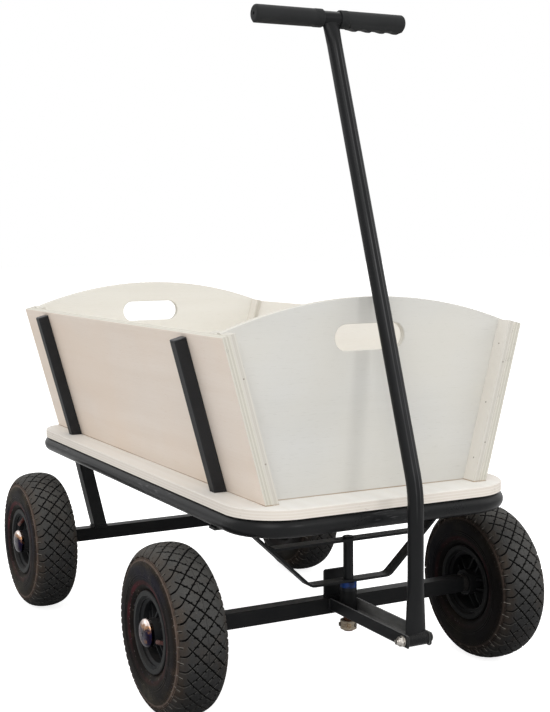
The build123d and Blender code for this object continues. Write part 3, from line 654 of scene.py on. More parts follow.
def boardFinish(name, kind, grainAxis, through, inward):
    # through: the direction across the board; inward: 1 or -1, the way along it that looks into the box
    outLight, outDark, inLight, inDark, edgeLight, edgeDark, warm = plywood[kind]
    label = name + "Ply"
    material, tree, shader, spot, normal = newFinish(label, Specular_IOR_Level=0.35)
    # the length of the name moves the pattern, so that boards beside each other differ
    along = put(tree, "Mapping", Vector=spot, Rotation=grainTurns[grainAxis],
                Location=(0.37 * len(label), 0.11 * len(label), 0.23))
    facing = dotted(tree, normal, through)
    inner = spread(tree, times(tree, facing, inward), -0.2, 0.2)
    veneer = useGroup(
        tree, birchVeneer, Along=along, Light=tinted(tree, inner, outLight, inLight),
        Dark=tinted(tree, inner, outDark, inDark), Figure=plywood["figure"], Fleck=plywood["fleck"])
    start, thick = boardStart(nodes[name], through)
    inside = spread(tree, dotted(tree, spot, through), start, start + thick)
    plies = plywood["plies"][kind]
    sawn = useGroup(tree, plyEdge, Position=spot, Depth=inside, Plies=plies, Light=edgeLight,
                    Dark=edgeDark, Glue=plywood["glue"][plies])
    edge = spread(tree, sums(tree, "ABSOLUTE", facing), 0.80, 0.62)
    # broad warmer clouds of heartwood under the wash
    broad = noiseAt(tree, along, 3.4, 3.0, Roughness=0.5)
    outer = sums(tree, "MULTIPLY_ADD", inner, -0.85, 1.0)
    cloudy = times(tree, spread(tree, broad, 0.46, 0.66, 0.0, 0.5), outer)
    colour = tinted(tree, cloudy, veneer.outputs["Color"], warm)
    colour = tinted(tree, edge, colour, sawn.outputs["Color"])
    worn = useGroup(tree, edgeWear, Position=spot, Width=0.0015, Break=40.0, Amount=0.35)
    colour = tinted(tree, worn, colour, edgeDark)
    # thin brown line where a board stands on the deck
    up, top = axes(tree, spot)[2], plywood["deckTop"]
    foot = times(tree, spread(tree, up, top + 0.0019, top + 0.0012),
                 spread(tree, up, top + 0.0001, top + 0.0002))
    foot = times(tree, foot, spread(tree, broad, 0.38, 0.58, 0.45, 0.95))
    colour = tinted(tree, foot, colour, plywood["foot"])
    relief = put(tree, "Mix", {"data_type": "FLOAT"})
    for i, value in ((0, edge), (2, veneer.outputs["Height"]), (3, sawn.outputs["Height"])):
        feed(tree, relief, i, value)
    rough = spread(tree, veneer.outputs["Tone"], 0.0, 1.0, 0.52, 0.68)
    dress(tree, shader, colour, rough, relief, 0.22, 0.0005)
    return material


def boardStart(piece, through):
    # where the board begins along its own thickness, and how thick it is
    reach = [vertex.co.dot(Vector(through)) for vertex in piece.data.vertices]
    return min(reach), max(reach) - min(reach)


def finishBoards(lean):
    outLeft = (math.cos(lean), 0, -math.sin(lean))
    outRight = (-math.cos(lean), 0, -math.sin(lean))
    boards = {
        "deck_board": ("deck", "Y", (0, 0, 1), 1),
        "side_board_left": ("side", "Y", outLeft, -1),
        "side_board_right": ("side", "Y", outRight, -1),
        "front_board": ("end", "X", (0, 1, 0), 1),
        "rear_board": ("end", "X", (0, 1, 0), -1),
        "battens_left": ("batten", "Z", outLeft, -1),
        "battens_right": ("batten", "Z", outRight, -1),
    }
    for name, board in boards.items():
        paint(nodes[name], boardFinish(name, *board))


finishBoards(plywood["lean"])
print("boards finished")

mouldings = {
    # colour, light, gloss, specular, grain, bump, dust
    "gripRubber": ((0.0130, 0.0135, 0.0140), (0.0240, 0.0250, 0.0255), 0.66, 0.17, 900.0, 0.45, 0.1),
    "stakeCapPlastic": ((0.026, 0.027, 0.029), (0.040, 0.041, 0.044), 0.5, 0.35, 500.0, 0.15, 0.2),
    "blueBushPlastic": ((0.006, 0.026, 0.13), (0.011, 0.050, 0.22), 0.36, 0.2, 300.0, 0.1, 0.12),
    "rustyStemRubber": ((0.030, 0.008, 0.007), (0.105, 0.026, 0.020), 0.5, 0.25, 420.0, 0.4, 0.2),
    "rustyValveCap": ((0.085, 0.036, 0.032), (0.155, 0.085, 0.075), 0.5, 0.3, 500.0, 0.2, 0.3),
}
mouldingDust = {"blueBushPlastic": (0.06, 0.06, 0.08)}
# the height under which the piece is blackened with old grease
greaseLevel = {"blueBushPlastic": 0.1655}


def mouldedFinish(name, colour, light, gloss, specular, size, strength, dustAmount):
    material, tree, shader, spot, normal = newFinish(name, Specular_IOR_Level=specular)
    grain = useGroup(tree, fineGrain, Position=spot, Size=size, Patch=16.0)
    worn = useGroup(tree, edgeWear, Position=spot, Width=0.0009, Break=90.0, Amount=0.5)
    dusty = useGroup(tree, dryDust, Position=spot, Normal=normal, Low=0.05, High=0.35, Amount=dustAmount)
    mixed = tinted(tree, toned(tree, grain), colour, light)
    mixed = tinted(tree, worn, mixed, scaled(light, 2.4))
    mixed = tinted(tree, dusty, mixed, mouldingDust.get(name, (0.17, 0.14, 0.115)))
    if name in greaseLevel:
        below = greaseLevel[name]
        smear = noiseAt(tree, spot, 90.0, 3.0)
        level = sums(tree, "MULTIPLY_ADD", smear, 0.0016, axes(tree, spot)[2])
        greasy = spread(tree, level, below + 0.0010, below + 0.0004)
        smudge = spread(tree, smear, 0.54, 0.64, 0.0, 0.75)
        mixed = tinted(tree, sums(tree, "MAXIMUM", greasy, smudge), mixed, (0.0085, 0.0088, 0.0105))
    rough = toned(tree, grain, gloss - 0.06, gloss + 0.08)
    dress(tree, shader, mixed, rough, grain.outputs["Height"], strength, 0.0005)
    return material


moulded = {name: mouldedFinish(name, *values) for name, values in mouldings.items()}

rimLook = {
    "centre": ((0.0125, 0.0135, 0.015), (0.025, 0.027, 0.029)),
    "lip": ((0.0135, 0.0148, 0.0152), (0.0250, 0.0265, 0.0265)), "lipFrom": 0.0510, "lipTo": 0.0555,
    "worn": (0.050, 0.050, 0.050), "dust": (0.15, 0.12, 0.10),
    "innerShade": (0.0030, 0.0031, 0.0032), "innerShadeFrom": -0.004, "innerShadeTo": -0.016, "innerShadeAmount": 0.72,
}


def rimFinish(values):
    # dark moulded centre, paler rubbed lip
    material, tree, shader, spot, normal = newFinish("rimPlastic", Specular_IOR_Level=0.07)
    x, y, z = axes(tree, spot)
    high = sums(tree, "SUBTRACT", z, wheelPlaces["height"])
    away = []
    for axle in ("frontAxle", "rearAxle"):
        beside = sums(tree, "SUBTRACT", y, wheelPlaces[axle])
        square = sums(tree, "MULTIPLY_ADD", beside, beside, times(tree, high, high))
        away.append(sums(tree, "SQRT", square))
    lip = spread(tree, sums(tree, "MINIMUM", *away), values["lipFrom"], values["lipTo"], smooth=True)
    grain = useGroup(tree, fineGrain, Position=spot, Size=480.0, Patch=20.0)
    tone = toned(tree, grain)
    mixed = tinted(tree, lip, tinted(tree, tone, *values["centre"]), tinted(tree, tone, *values["lip"]))
    worn = useGroup(tree, edgeWear, Position=spot, Width=0.0012, Break=90.0, Amount=0.25)
    mixed = tinted(tree, worn, mixed, values["worn"])
    dusty = useGroup(tree, dryDust, Position=spot, Normal=normal, Low=0.03, High=0.25, Amount=0.35)
    mixed = tinted(tree, dusty, mixed, values["dust"])
    # painted shade: darker on the wagon's side of the web
    across = sums(tree, "SUBTRACT", sums(tree, "ABSOLUTE", x), wheelPlaces["track"])
    innerShade = spread(tree, across, values["innerShadeFrom"], values["innerShadeTo"], 0.0, values["innerShadeAmount"])
    mixed = tinted(tree, innerShade, mixed, values["innerShade"])
    dress(tree, shader, mixed, toned(tree, grain, 0.38, 0.56), grain.outputs["Height"], 0.25, 0.0005)
    return material


rimPlastic = rimFinish(rimLook)

tyreLook = {
    "tread": ((0.0300, 0.0302, 0.0302), (0.060, 0.0595, 0.0585)),
    "wall": ((0.0036, 0.0028, 0.0025), (0.0092, 0.0066, 0.0055)),
    "brown": (0.062, 0.043, 0.030), "olive": (0.052, 0.046, 0.029), "ring": (0.160, 0.118, 0.097),
    "blue": (0.0055, 0.0053, 0.0150), "red": (0.075, 0.0062, 0.0130), "skyLitTop": (0.125, 0.122, 0.112),
    "groove": (0.0068, 0.0067, 0.0067), "innerShade": (0.0026, 0.0022, 0.0021), "speck": (0.20, 0.187, 0.175),
    "oddSpeck": (0.070, 0.058, 0.115), "litEdge": (0.20, 0.185, 0.165), "worn": (0.150, 0.146, 0.138),
    "lugEnd": 0.0455, "column": 0.01215, "rough": (0.46, 0.68), "linePitch": 0.0034, "ticks": 4,
    # bands of the wall: where each begins, is full, starts to fade and is gone, from the crown
    "blueBand": (0.0530, 0.0600, 0.0760, 0.0830), "redBand": (0.0800, 0.0812, 0.0870, 0.0885),
    "lineBand": (0.0700, 0.0720, 0.0780, 0.0800), "tickBand": (0.0530, 0.0540, 0.0560, 0.0570),
    # the same for the rubbed rib, in shares of a tread pitch
    "ribBand": (0.455, 0.480, 0.520, 0.545), "ribPhase": 0.74,
}


def tyreFinish(values):
    # treadMap holds metres from the crown along the section, and tread pitches round the tyre
    material, tree, shader, spot, normal = newFinish("tyreRubber", Specular_IOR_Level=0.06)
    signed, turns = axes(tree, put(tree, "UVMap", {"uv_map": "treadMap"}))[:2]
    side = sums(tree, "ABSOLUTE", signed)
    relief = put(tree, "Attribute", {"attribute_type": "GEOMETRY", "attribute_name": "relief"})
    grain = useGroup(tree, fineGrain, Position=spot, Size=520.0, Patch=13.0)
    cloud = noiseAt(tree, spot, 17.0, 6.0, Roughness=0.7)
    patch = noiseAt(tree, spot, 7.0, 3.0)
    x, y, z = axes(tree, spot)
    normalX, normalY, normalZ = axes(tree, normal)
    end = values["lugEnd"]
    tread = tinted(tree, toned(tree, grain), *values["tread"])
    wall = tinted(tree, toned(tree, grain), *values["wall"])
    bluish = times(tree, between(tree, side, *values["blueBand"]),
                   spread(tree, patch, 0.44, 0.60, 0.0, 0.8), spread(tree, z, 0.09, 0.15, 0.3, 1.0))
    wall = tinted(tree, bluish, wall, values["blue"])
    colour = tinted(tree, spread(tree, side, end - 0.004, end + 0.001), tread, wall)
    # brown dust held by the shoulder lugs
    shoulder = between(tree, side, 0.026, 0.036, end + 0.002, end + 0.016)
    dusty = times(tree, shoulder, spread(tree, cloud, 0.38, 0.62, 0.1, 0.8))
    colour = tinted(tree, dusty, colour, values["brown"])
    colour = tinted(tree, spread(tree, cloud, 0.52, 0.72, 0.0, 0.6), colour, values["brown"])
    # olive dust on the wall, most at the top and bottom of the tyre
    far = spread(tree, awayFrom(tree, z, wheelPlaces["height"]), 0.050, 0.105)
    olive = times(tree, spread(tree, side, end + 0.002, end + 0.006),
                  spread(tree, cloud, 0.42, 0.62, 0.05, 0.6), far)
    colour = tinted(tree, olive, colour, values["olive"])
    # paler moulded rings beside the lugs
    gap = between(tree, side, end + 0.0016, end + 0.0021, end + 0.0026, end + 0.0031)
    band = times(tree, between(tree, side, end - 0.0004, end + 0.0010, end + 0.0056, end + 0.0068),
                 sums(tree, "MULTIPLY_ADD", gap, -0.7, 1.0), spread(tree, cloud, 0.30, 0.58, 0.35, 0.85))
    colour = tinted(tree, band, colour, values["ring"])
    # the red band beside the rim, weaker towards the bottom of the tyre as painted shade
    red = times(tree, between(tree, side, *values["redBand"]),
                spread(tree, z, 0.090, 0.150, 0.25, 1.0), spread(tree, cloud, 0.38, 0.58, 0.10, 0.75))
    colour = tinted(tree, red, colour, values["red"])
    # sparse pale grit on the wall
    cells = put(tree, "TexVoronoi", {"feature": "F1"}, Vector=spot, Scale=300.0, Randomness=1.0)
    chosen, odd = axes(tree, cells.outputs["Color"])[:2]
    specks = times(tree, spread(tree, cells.outputs["Distance"], 0.30, 0.16),
                   sums(tree, "GREATER_THAN", chosen, 0.68),
                   spread(tree, side, end, end + 0.006, 0.30, 0.85),
                   spread(tree, cloud, 0.36, 0.56, 0.25, 1.0))
    grit = tinted(tree, sums(tree, "GREATER_THAN", odd, 0.55), values["speck"], values["oddSpeck"])
    colour = tinted(tree, specks, colour, grit)
    # painted light: block tops are painted paler where they face the sky
    litTops = times(tree, spread(tree, normalZ, -0.1, 0.9, 0.0, 0.55),
                  spread(tree, grain.outputs["Tone"], 0.35, 0.62, 0.25, 1.0),
                  spread(tree, side, end + 0.001, end - 0.003))
    colour = tinted(tree, litTops, colour, values["skyLitTop"])
    # painted glints on the block edges, together with their wear, and painted shade on the rubber facing
    # down
    wearAndEdgeLight = useGroup(tree, edgeWear, Position=spot, Width=0.0007, Break=150.0, Amount=0.75)
    wearAndEdgeLight = times(tree, wearAndEdgeLight, spread(tree, side, end, end - 0.006))
    colour = tinted(tree, wearAndEdgeLight, colour, values["worn"])
    # painted shade: faces turned down are painted near black
    under = times(tree, spread(tree, normalZ, 0.25, -0.70, 0.0, 0.88),
                  spread(tree, side, end + 0.004, end - 0.003, 0.35, 1.0))
    colour = tinted(tree, under, colour, values["groove"])
    # painted shade: the wall on the wagon's side is painted near black
    outward = times(tree, normalX, sums(tree, "SIGN", x))
    inward = times(tree, spread(tree, outward, -0.15, -0.60, 0.0, 0.72),
                   spread(tree, side, end - 0.006, end + 0.001, 0.25, 1.0))
    colour = tinted(tree, inward, colour, values["innerShade"])
    # painted shade in the grooves and in short cross slits at the middle of each block edge, and a dark
    # mould line on the crown
    low = spread(tree, relief.outputs["Fac"], 0.75, 0.1)
    across = awayFrom(tree, sums(tree, "FRACT", sums(tree, "DIVIDE", side, values["column"])), 0.5)
    beside = awayFrom(tree, sums(tree, "FRACT", times(tree, turns, 2.0)), 0.5)
    slit = times(tree, spread(tree, across, 0.290, 0.250), spread(tree, beside, 0.090, 0.065),
                 spread(tree, side, 0.0262, 0.0256))
    seam = times(tree, spread(tree, side, 0.0006, 0.0003), spread(tree, cloud, 0.35, 0.6, 0.1, 0.7))
    sunk = sums(tree, "MAXIMUM", sums(tree, "MAXIMUM", low, slit), seam)
    colour = tinted(tree, sunk, colour, values["groove"])
    # painted highlight: a pale line on a small rib between the shoulder notches, at one place in each pitch
    way = times(tree, sums(tree, "SIGN", signed), -1.0)
    phase = sums(tree, "FRACT", sums(tree, "ADD", times(tree, turns, way), 64.0 - values["ribPhase"]))
    rib = times(tree, between(tree, phase, *values["ribBand"]),
                between(tree, side, 0.0365, 0.0385, end + 0.0035, end + 0.0050))
    lit = times(tree, rib, spread(tree, normalZ, 0.30, 0.0, 0.12, 0.9))
    colour = tinted(tree, lit, colour, values["litEdge"])
    rough = sums(tree, "MULTIPLY_ADD", dusty, 0.2, toned(tree, grain, *values["rough"]), clamp=True)
    # fine moulded lines round the wall, and short radial ticks
    lines = sums(tree, "SINE", times(tree, side, 2 * math.pi / values["linePitch"]))
    lines = times(tree, lines, between(tree, side, *values["lineBand"]))
    ticks = sums(tree, "SINE", times(tree, turns, 2 * math.pi * values["ticks"]))
    ticks = times(tree, ticks, between(tree, side, *values["tickBand"]))
    height = sums(tree, "MULTIPLY_ADD", ticks, 0.6, lines)
    for raised, share in ((grain.outputs["Height"], 0.8), (slit, -2.5), (seam, 0.8), (rib, 1.5)):
        height = sums(tree, "MULTIPLY_ADD", raised, share, height)
    dress(tree, shader, colour, rough, height, 0.5, 0.0006)
    return material


tyreRubber = tyreFinish(tyreLook)
print("rubber and plastics ready")

nodeFinishes = {
    "cross_members": coatBlack, "stakes_left": coatStakeLit, "stakes_right": coatStakeLit,
    "frame_ring": coatRing, "rear_legs": coatBlack, "steering_brace": coatBlack,
    "brace_crossbar": coatBlack, "stop_plate": coatBlack, "front_axle_beam": coatBeamShaded,
    "rear_axle_beam": coatBeamShaded, "head_tube": coatBeamShaded, "pivot_sleeve": coatSleeve,
    "handle_shaft": coatHandle, "handle_crossbar": coatHandle, "drawbar_channel": coatChannel,
    "stake_caps": moulded["stakeCapPlastic"], "rear_stub_axles": steel["darkStubAxleSteel"],
    "front_stub_axles": steel["darkStubAxleSteel"], "kingpin": pinFinish,
    "kingpin_collar": steel["dullZincCollar"], "steering_bushing": moulded["blueBushPlastic"],
    "pivot_bolt": steel["zincSteel"], "grip_left": moulded["gripRubber"],
    "grip_right": moulded["gripRubber"],
}
for name, finish in nodeFinishes.items():
    paint(nodes[name], finish)

wheels = {
    # side, axle, how far its tread is turned in degrees, where its valve sits in degrees from the front
    "front_left": (1, wheelPlaces["frontAxle"], 5.0, 108),
    "front_right": (-1, wheelPlaces["frontAxle"], 2.3, -10),
    "rear_left": (1, wheelPlaces["rearAxle"], 1.0, -36),
    "rear_right": (-1, wheelPlaces["rearAxle"], 8.0, 108),
}
for place in wheels:
    paint(nodes["rim_" + place], rimPlastic)
    paint(nodes["hub_cap_" + place], chromeCap)

tyreShape = {
    # half of the section, from the bead out to the crown, as (x, radius)
    "section": [(0.0338, 0.06251), (0.0410, 0.07152), (0.0430, 0.08988), (0.0410, 0.10756),
                (0.0315, 0.12184), (0.0172, 0.1283), (0.0, 0.130)],
    "inside": [(0.0268, 0.0500), (0.0268, 0.0600), (0.0335, 0.0736), (0.0365, 0.0899),
               (0.0340, 0.1035), (0.0250, 0.1144), (0.0, 0.1213)],
    "pitches": 32, "crown": 0.130, "column": tyreLook["column"], "groove": 0.00105, "deep": 0.0045,
    "chamfer": 0.0005, "lugEnd": tyreLook["lugEnd"], "lugRamp": 0.040, "lugDeep": 0.0034,
    # place from the crown along the section, and height
    "rings": ((0.0466, 0.0007), (0.0492, 0.0006), (0.0730, 0.0004), (0.0765, 0.0007)),
    "ringHalf": 0.0006, "ringTop": 0.0005, "ringFoot": 0.0011,
    # how far the wall lies under the section beside the lugs, and less further in
    "wallRest": 0.0004, "wallSink": 0.0021, "wallRise": 0.013,
    # how far apart the casing's edges are under the tread and, past the start of the wall, on it
    "treadStep": 0.0029, "wallStep": 0.0036, "wallStart": 0.0440,
    # how the block tops are cut up, round the tyre and across it
    "rows": 14, "cutWide": 0.0041, "cutsBeside": 11,
    "beadFoot": (0.0338, 0.0500), "steps": 192,
}


def sectionCurve(points):
    # smooth line through the section points from bead to bead, as (arc from the crown, x, r)
    full = [(x, r) for x, r in points] + [(-x, r) for x, r in reversed(points[:-1])]
    dense = []
    last = len(full) - 1
    for i in range(last):
        a, b = full[i], full[i + 1]
        before = full[i - 1] if i else (2 * a[0] - b[0], 2 * a[1] - b[1])
        after = full[i + 2] if i + 2 <= last else (2 * b[0] - a[0], 2 * b[1] - a[1])
        for k in range(12):
            t = k / 12
            spot = []
            for p0, p1, p2, p3 in zip(before, a, b, after):
                curve = (2 * p0 - 5 * p1 + 4 * p2 - p3) * t * t + (3 * p1 - p0 - 3 * p2 + p3) * t ** 3
                spot.append(0.5 * (2 * p1 + (p2 - p0) * t + curve))
            dense.append(tuple(spot))
    dense.append(full[last])
    arcs = [0.0]
    for (x0, r0), (x1, r1) in zip(dense, dense[1:]):
        arcs.append(arcs[-1] + math.hypot(x1 - x0, r1 - r0))
    middle = arcs[-1] / 2
    return [(middle - arc, x, r) for arc, (x, r) in zip(arcs, dense)]


def onSection(curve, arc):
    # point and outward normal at a signed arc length from the crown
    for (s1, x1, r1), (s0, x0, r0) in zip(curve, curve[1:]):
        if s0 <= arc <= s1:
            t = (arc - s0) / (s1 - s0)
            long = math.hypot(x1 - x0, r1 - r0)
            point = Vector((x0 + (x1 - x0) * t, r0 + (r1 - r0) * t))
            return point, Vector((-(r1 - r0) / long, (x1 - x0) / long))
    s, x, r = curve[0] if arc > 0 else curve[-1]
    return Vector((x, r)), Vector((math.copysign(1, x), 0))


def grooveFloor(values, arc):
    # how far the casing lies below the block tops
    side = abs(arc)
    deep, end, ramp = values["deep"], values["lugEnd"], values["lugRamp"]
    if side < ramp:
        return deep
    if side < end:
        return deep + (values["lugDeep"] - deep) * (side - ramp) / (end - ramp)
    # the wall is sunk most beside the lugs and rises further in
    wall = values["wallRest"] + values["wallSink"] * max(0, 1 - (side - end) / values["wallRise"])
    for ring, height in values["rings"]:
        if abs(side - ring) < values["ringHalf"]:
            return max(wall - height, 0)
    return wall


def casingStops(values, reach):
    # places across the section where the casing has an edge, closer at the rings
    top, foot = values["ringTop"], values["ringFoot"]
    stops = set()
    side = 0.0
    while side < reach - 0.001:
        stops.add(round(side, 5))
        side += values["treadStep"] if side < values["wallStart"] else values["wallStep"]
    for ring, height in values["rings"]:
        stops |= {round(ring + step, 5) for step in (-foot, -top, top, foot)}
    stops.add(round(reach - 0.0002, 5))
    arcs = sorted(stops)
    return [-s for s in reversed(arcs[1:])] + arcs


def tyreCasing(values, curve):
    reach = curve[0][0]
    places = casingStops(values, reach)
    outline = []
    for arc in places:
        point, normal = onSection(curve, arc)
        point = point - normal * grooveFloor(values, arc)
        outline.append((point.x, point.y))
    foot, inner = values["beadFoot"], values["inside"]
    outline += [foot] + inner + [(-x, r) for x, r in reversed(inner[:-1])] + [(-foot[0], foot[1])]
    places += [reach + 0.01] * (len(outline) - len(places))
    casing = lathed("tyreCasing", outline, values["steps"])
    # the map across and round the tyre
    table = {(round(x, 5), round(r, 5)): arc for (x, r), arc in zip(outline, places)}

    def arcAt(co):
        key = (round(co.x, 5), round(math.hypot(co.y, co.z), 5))
        if key not in table:
            key = min(table, key=lambda other: abs(other[0] - key[0]) + abs(other[1] - key[1]))
        return table[key]

    layer = casing.data.uv_layers.new(name="treadMap")
    for face in casing.data.polygons:
        spots = [casing.data.vertices[i].co for i in face.vertices]
        turns = [math.atan2(co.y, co.z) / (2 * math.pi) for co in spots]
        for i, co, turn in zip(face.loop_indices, spots, turns):
            if turn < 0 and max(turns) - min(turns) > 0.5:
                turn += 1
            layer.uv[i].vector = (arcAt(co), turn * values["pitches"])
    relief = casing.data.attributes.new("relief", "FLOAT", "POINT")
    for vertex in casing.data.vertices:
        key = (round(vertex.co.x, 5), round(math.hypot(vertex.co.y, vertex.co.z), 5))
        sunk = abs(table.get(key, 1.0)) < values["lugEnd"] - 0.002
        relief.data[vertex.index].value = 0.0 if sunk else 1.0
    return casing


def blockOutlines(values, pitch):
    # flat outlines of one tread pitch: three diamonds and two shoulder blocks, as (across, round)
    half, column, gap = pitch / 2, values["column"], values["groove"]
    slant = math.hypot(half, column)
    up, out = gap * slant / column, gap * slant / half
    near, far = column, column * 2
    stub, bend, turned, lug = far + 0.0058, far + 0.0098, far + 0.0158, values["lugEnd"]
    drop = (stub - far) * half / column
    outlines = []
    for centre, middle in ((0.0, half), (near, 0.0), (-near, 0.0)):
        outlines.append([(centre + column - out, middle), (centre, middle + half - up),
                         (centre - column + out, middle), (centre, middle - half + up)])
    # the shoulder's upper edge, the notch in its end, and its lower edge
    upper, notch, lower = pitch * 0.64 - gap * 1.5, pitch * 0.165, -pitch * 0.36 + gap * 1.5
    shoulder = [
        (near + out, half), (far, pitch - up), (stub, pitch - drop - up),
        (bend, pitch * 0.67 - gap * 1.4), (turned, upper + gap * 0.1),
        (lug - 0.0016, upper), (lug, upper - 0.0016),
        (lug, notch + gap * 1.3 + 0.0014), (lug - 0.0014, notch + gap * 1.3),
        (lug - 0.0070, notch + gap * 0.8), (lug - 0.0070, notch - gap * 0.8),
        (lug - 0.0014, notch - gap * 1.3), (lug, notch - gap * 1.3 - 0.0014),
        (lug, lower + 0.0016), (lug - 0.0016, lower),
        (turned, lower - gap * 0.1), (bend, -pitch * 0.33 + gap * 1.4),
        (stub, -drop + up), (far + out, 0), (stub, drop - up),
        (stub + out * 0.6, drop + gap * 0.3), (stub, drop + up), (far, up),
    ]
    outlines.append([(-s, t) for s, t in shoulder])
    outlines.append([(s, -t) for s, t in shoulder])
    return outlines


def flatBlocks(values, outlines):
    # the flat tops of one pitch, chamfered, cut up and given walls
    blocks = []
    for outline in outlines:
        deselectAll()
        bpy.ops.mesh.primitive_circle_add(vertices=len(outline), radius=0.01, fill_type="NGON")
        block = bpy.context.object
        for vertex, (s, t) in zip(block.data.vertices, outline):
            vertex.co = (s, t, 0)
        blocks.append(block)
    tread = joined("treadBlocks", blocks)
    bpy.ops.object.mode_set(mode="EDIT")
    bpy.ops.mesh.select_all(action="SELECT")
    # a small chamfer round every block
    bpy.ops.mesh.inset(thickness=values["chamfer"], depth=0, use_boundary=True)
    bpy.ops.object.mode_set(mode="OBJECT")
    edge = {}
    for face in tread.data.polygons:
        for key in face.edge_keys:
            edge[key] = edge.get(key, 0) + 1
    for v in {v for key, count in edge.items() if count == 1 for v in key}:
        tread.data.vertices[v].co.z = -values["chamfer"]
    # cut across so that the blocks can follow the crown
    bpy.ops.object.mode_set(mode="EDIT")
    low = min(t for outline in outlines for s, t in outline)
    high = max(t for outline in outlines for s, t in outline)
    rows, beside = values["rows"], values["cutsBeside"]
    cuts = [((0, low + (high - low) * i / rows, 0), (0, 1, 0)) for i in range(1, rows)]
    cuts += [((s * values["cutWide"], 0, 0), (1, 0, 0)) for s in range(-beside, beside + 1)]
    for place, normal in cuts:
        bpy.ops.mesh.select_all(action="SELECT")
        bpy.ops.mesh.bisect(plane_co=place, plane_no=normal, threshold=1e-6)
    bpy.ops.mesh.select_all(action="SELECT")
    bpy.ops.mesh.normals_make_consistent(inside=False)
    bpy.ops.object.mode_set(mode="OBJECT")
    if tread.data.polygons[0].normal.z < 0:
        tread.data.flip_normals()
    # the walls go down from the open edges into the casing
    bpy.ops.object.mode_set(mode="EDIT")
    bpy.ops.mesh.select_all(action="DESELECT")
    bpy.ops.mesh.select_mode(type="EDGE")
    bpy.ops.mesh.select_non_manifold()
    bpy.ops.mesh.extrude_region_move(
        TRANSFORM_OT_translate={"value": (0, 0, -values["deep"] - 0.0004)})
    bpy.ops.mesh.select_mode(type="VERT")
    bpy.ops.object.mode_set(mode="OBJECT")
    bpy.context.view_layer.update()
    return tread


def treadBlocks(values, curve):
    pitch = 2 * math.pi * values["crown"] / values["pitches"]
    tread = flatBlocks(values, blockOutlines(values, pitch))
    tread.data.uv_layers.new(name="treadMap")
    modified(tread, "ARRAY", count=values["pitches"], use_relative_offset=False,
             use_constant_offset=True, constant_offset_displace=(0, pitch, 0))
    for i, uv in enumerate(tread.data.uv_layers["treadMap"].uv):
        co = tread.data.vertices[tread.data.loops[i].vertex_index].co
        uv.vector = (co.x, co.y / pitch)
    # lay the flat sheet round the tyre, noting how high each point stands in the tread
    cache = {}
    relief = tread.data.attributes.new("relief", "FLOAT", "POINT")
    for vertex in tread.data.vertices:
        s, t, z = vertex.co
        relief.data[vertex.index].value = 0.0 if z < -0.002 else 1.0
        key = round(s, 6)
        if key not in cache:
            cache[key] = onSection(curve, s)
        point, normal = cache[key]
        place = point + normal * z
        angle = t / values["crown"]
        vertex.co = (place.x, place.y * math.sin(angle), place.y * math.cos(angle))
    return tread


def wheelMiddle(side, axle):
    return Vector((side * wheelPlaces["track"], axle, wheelPlaces["height"]))


def makeTyres(values):
    curve = sectionCurve(values["section"])
    casing = smoothed(tyreCasing(values, curve), 40)
    tread = smoothed(treadBlocks(values, curve), 30)
    first = joined("tyreMaster", [casing, tread])
    paint(first, tyreRubber)
    for place, (side, axle, turn, valve) in wheels.items():
        turned = Matrix.Rotation(math.radians(-turn), 4, "X")
        tyre = copied(first, "tyre_piece_" + place,
                      matrix=Matrix.Translation(wheelMiddle(side, axle)) @ turned)
        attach(tyre, "wheel_" + place)
        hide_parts("tyre_" + place)
    bpy.data.objects.remove(first)


makeTyres(tyreShape)
print("tyres made")

valveShape = {
    # the valve leans: its root and tip, away from the axle and out from the wheel's middle
    "tipAway": 0.0305, "tipOut": 0.0395, "rootAway": 0.0446, "rootOut": 0.0245,
    "stem": [(0.0, 0.0), (0.0, 0.0042), (0.0018, 0.0042), (0.0036, 0.0035), (0.0090, 0.0031),
             (0.0128, 0.0030), (0.0142, 0.0026), (0.0144, 0.0)],
    "cap": [(0.0138, 0.0), (0.0138, 0.0031), (0.0148, 0.0034), (0.0156, 0.0031), (0.0165, 0.0034),
            (0.0174, 0.0031), (0.0183, 0.0034), (0.0192, 0.0031), (0.0200, 0.0026),
            (0.0206, 0.0015), (0.0206, 0.0)],
}


def turnedTo(direction):
    return Vector(direction).to_track_quat("X", "Z").to_matrix().to_4x4()


def makeValves(values):
    stem = smoothed(lathed("valveStem", values["stem"], 20))
    paint(stem, moulded["rustyStemRubber"])
    cap = smoothed(lathed("valveCap", values["cap"], 20))
    paint(cap, moulded["rustyValveCap"])
    first = joined("valveMaster", [stem, cap])
    for place, (side, axle, turn, valve) in wheels.items():
        angle = math.radians(valve)
        away = Vector((0, -math.cos(angle), math.sin(angle)))
        out = Vector((side, 0, 0))
        root = out * values["rootOut"] + away * values["rootAway"]
        tip = out * values["tipOut"] + away * values["tipAway"]
        spot = Matrix.Translation(wheelMiddle(side, axle) + root)
        piece = copied(first, "valve_" + place, matrix=spot @ turnedTo((tip - root).normalized()))
        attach(piece, "wheel_" + place)
    bpy.data.objects.remove(first)


makeValves(valveShape)
print("valves made")

boltShape = {
    "y": -0.51195, "z": 0.133, "half": 0.021, "washer": 0.002, "washerRim": 0.0081, "nut": 0.0056,
    "flats": 0.013, "headLong": 0.0053, "radius": 0.004, "end": -0.034, "pitch": 0.00125,
    "collar": 0.0024, "collarRim": 0.0058,
}


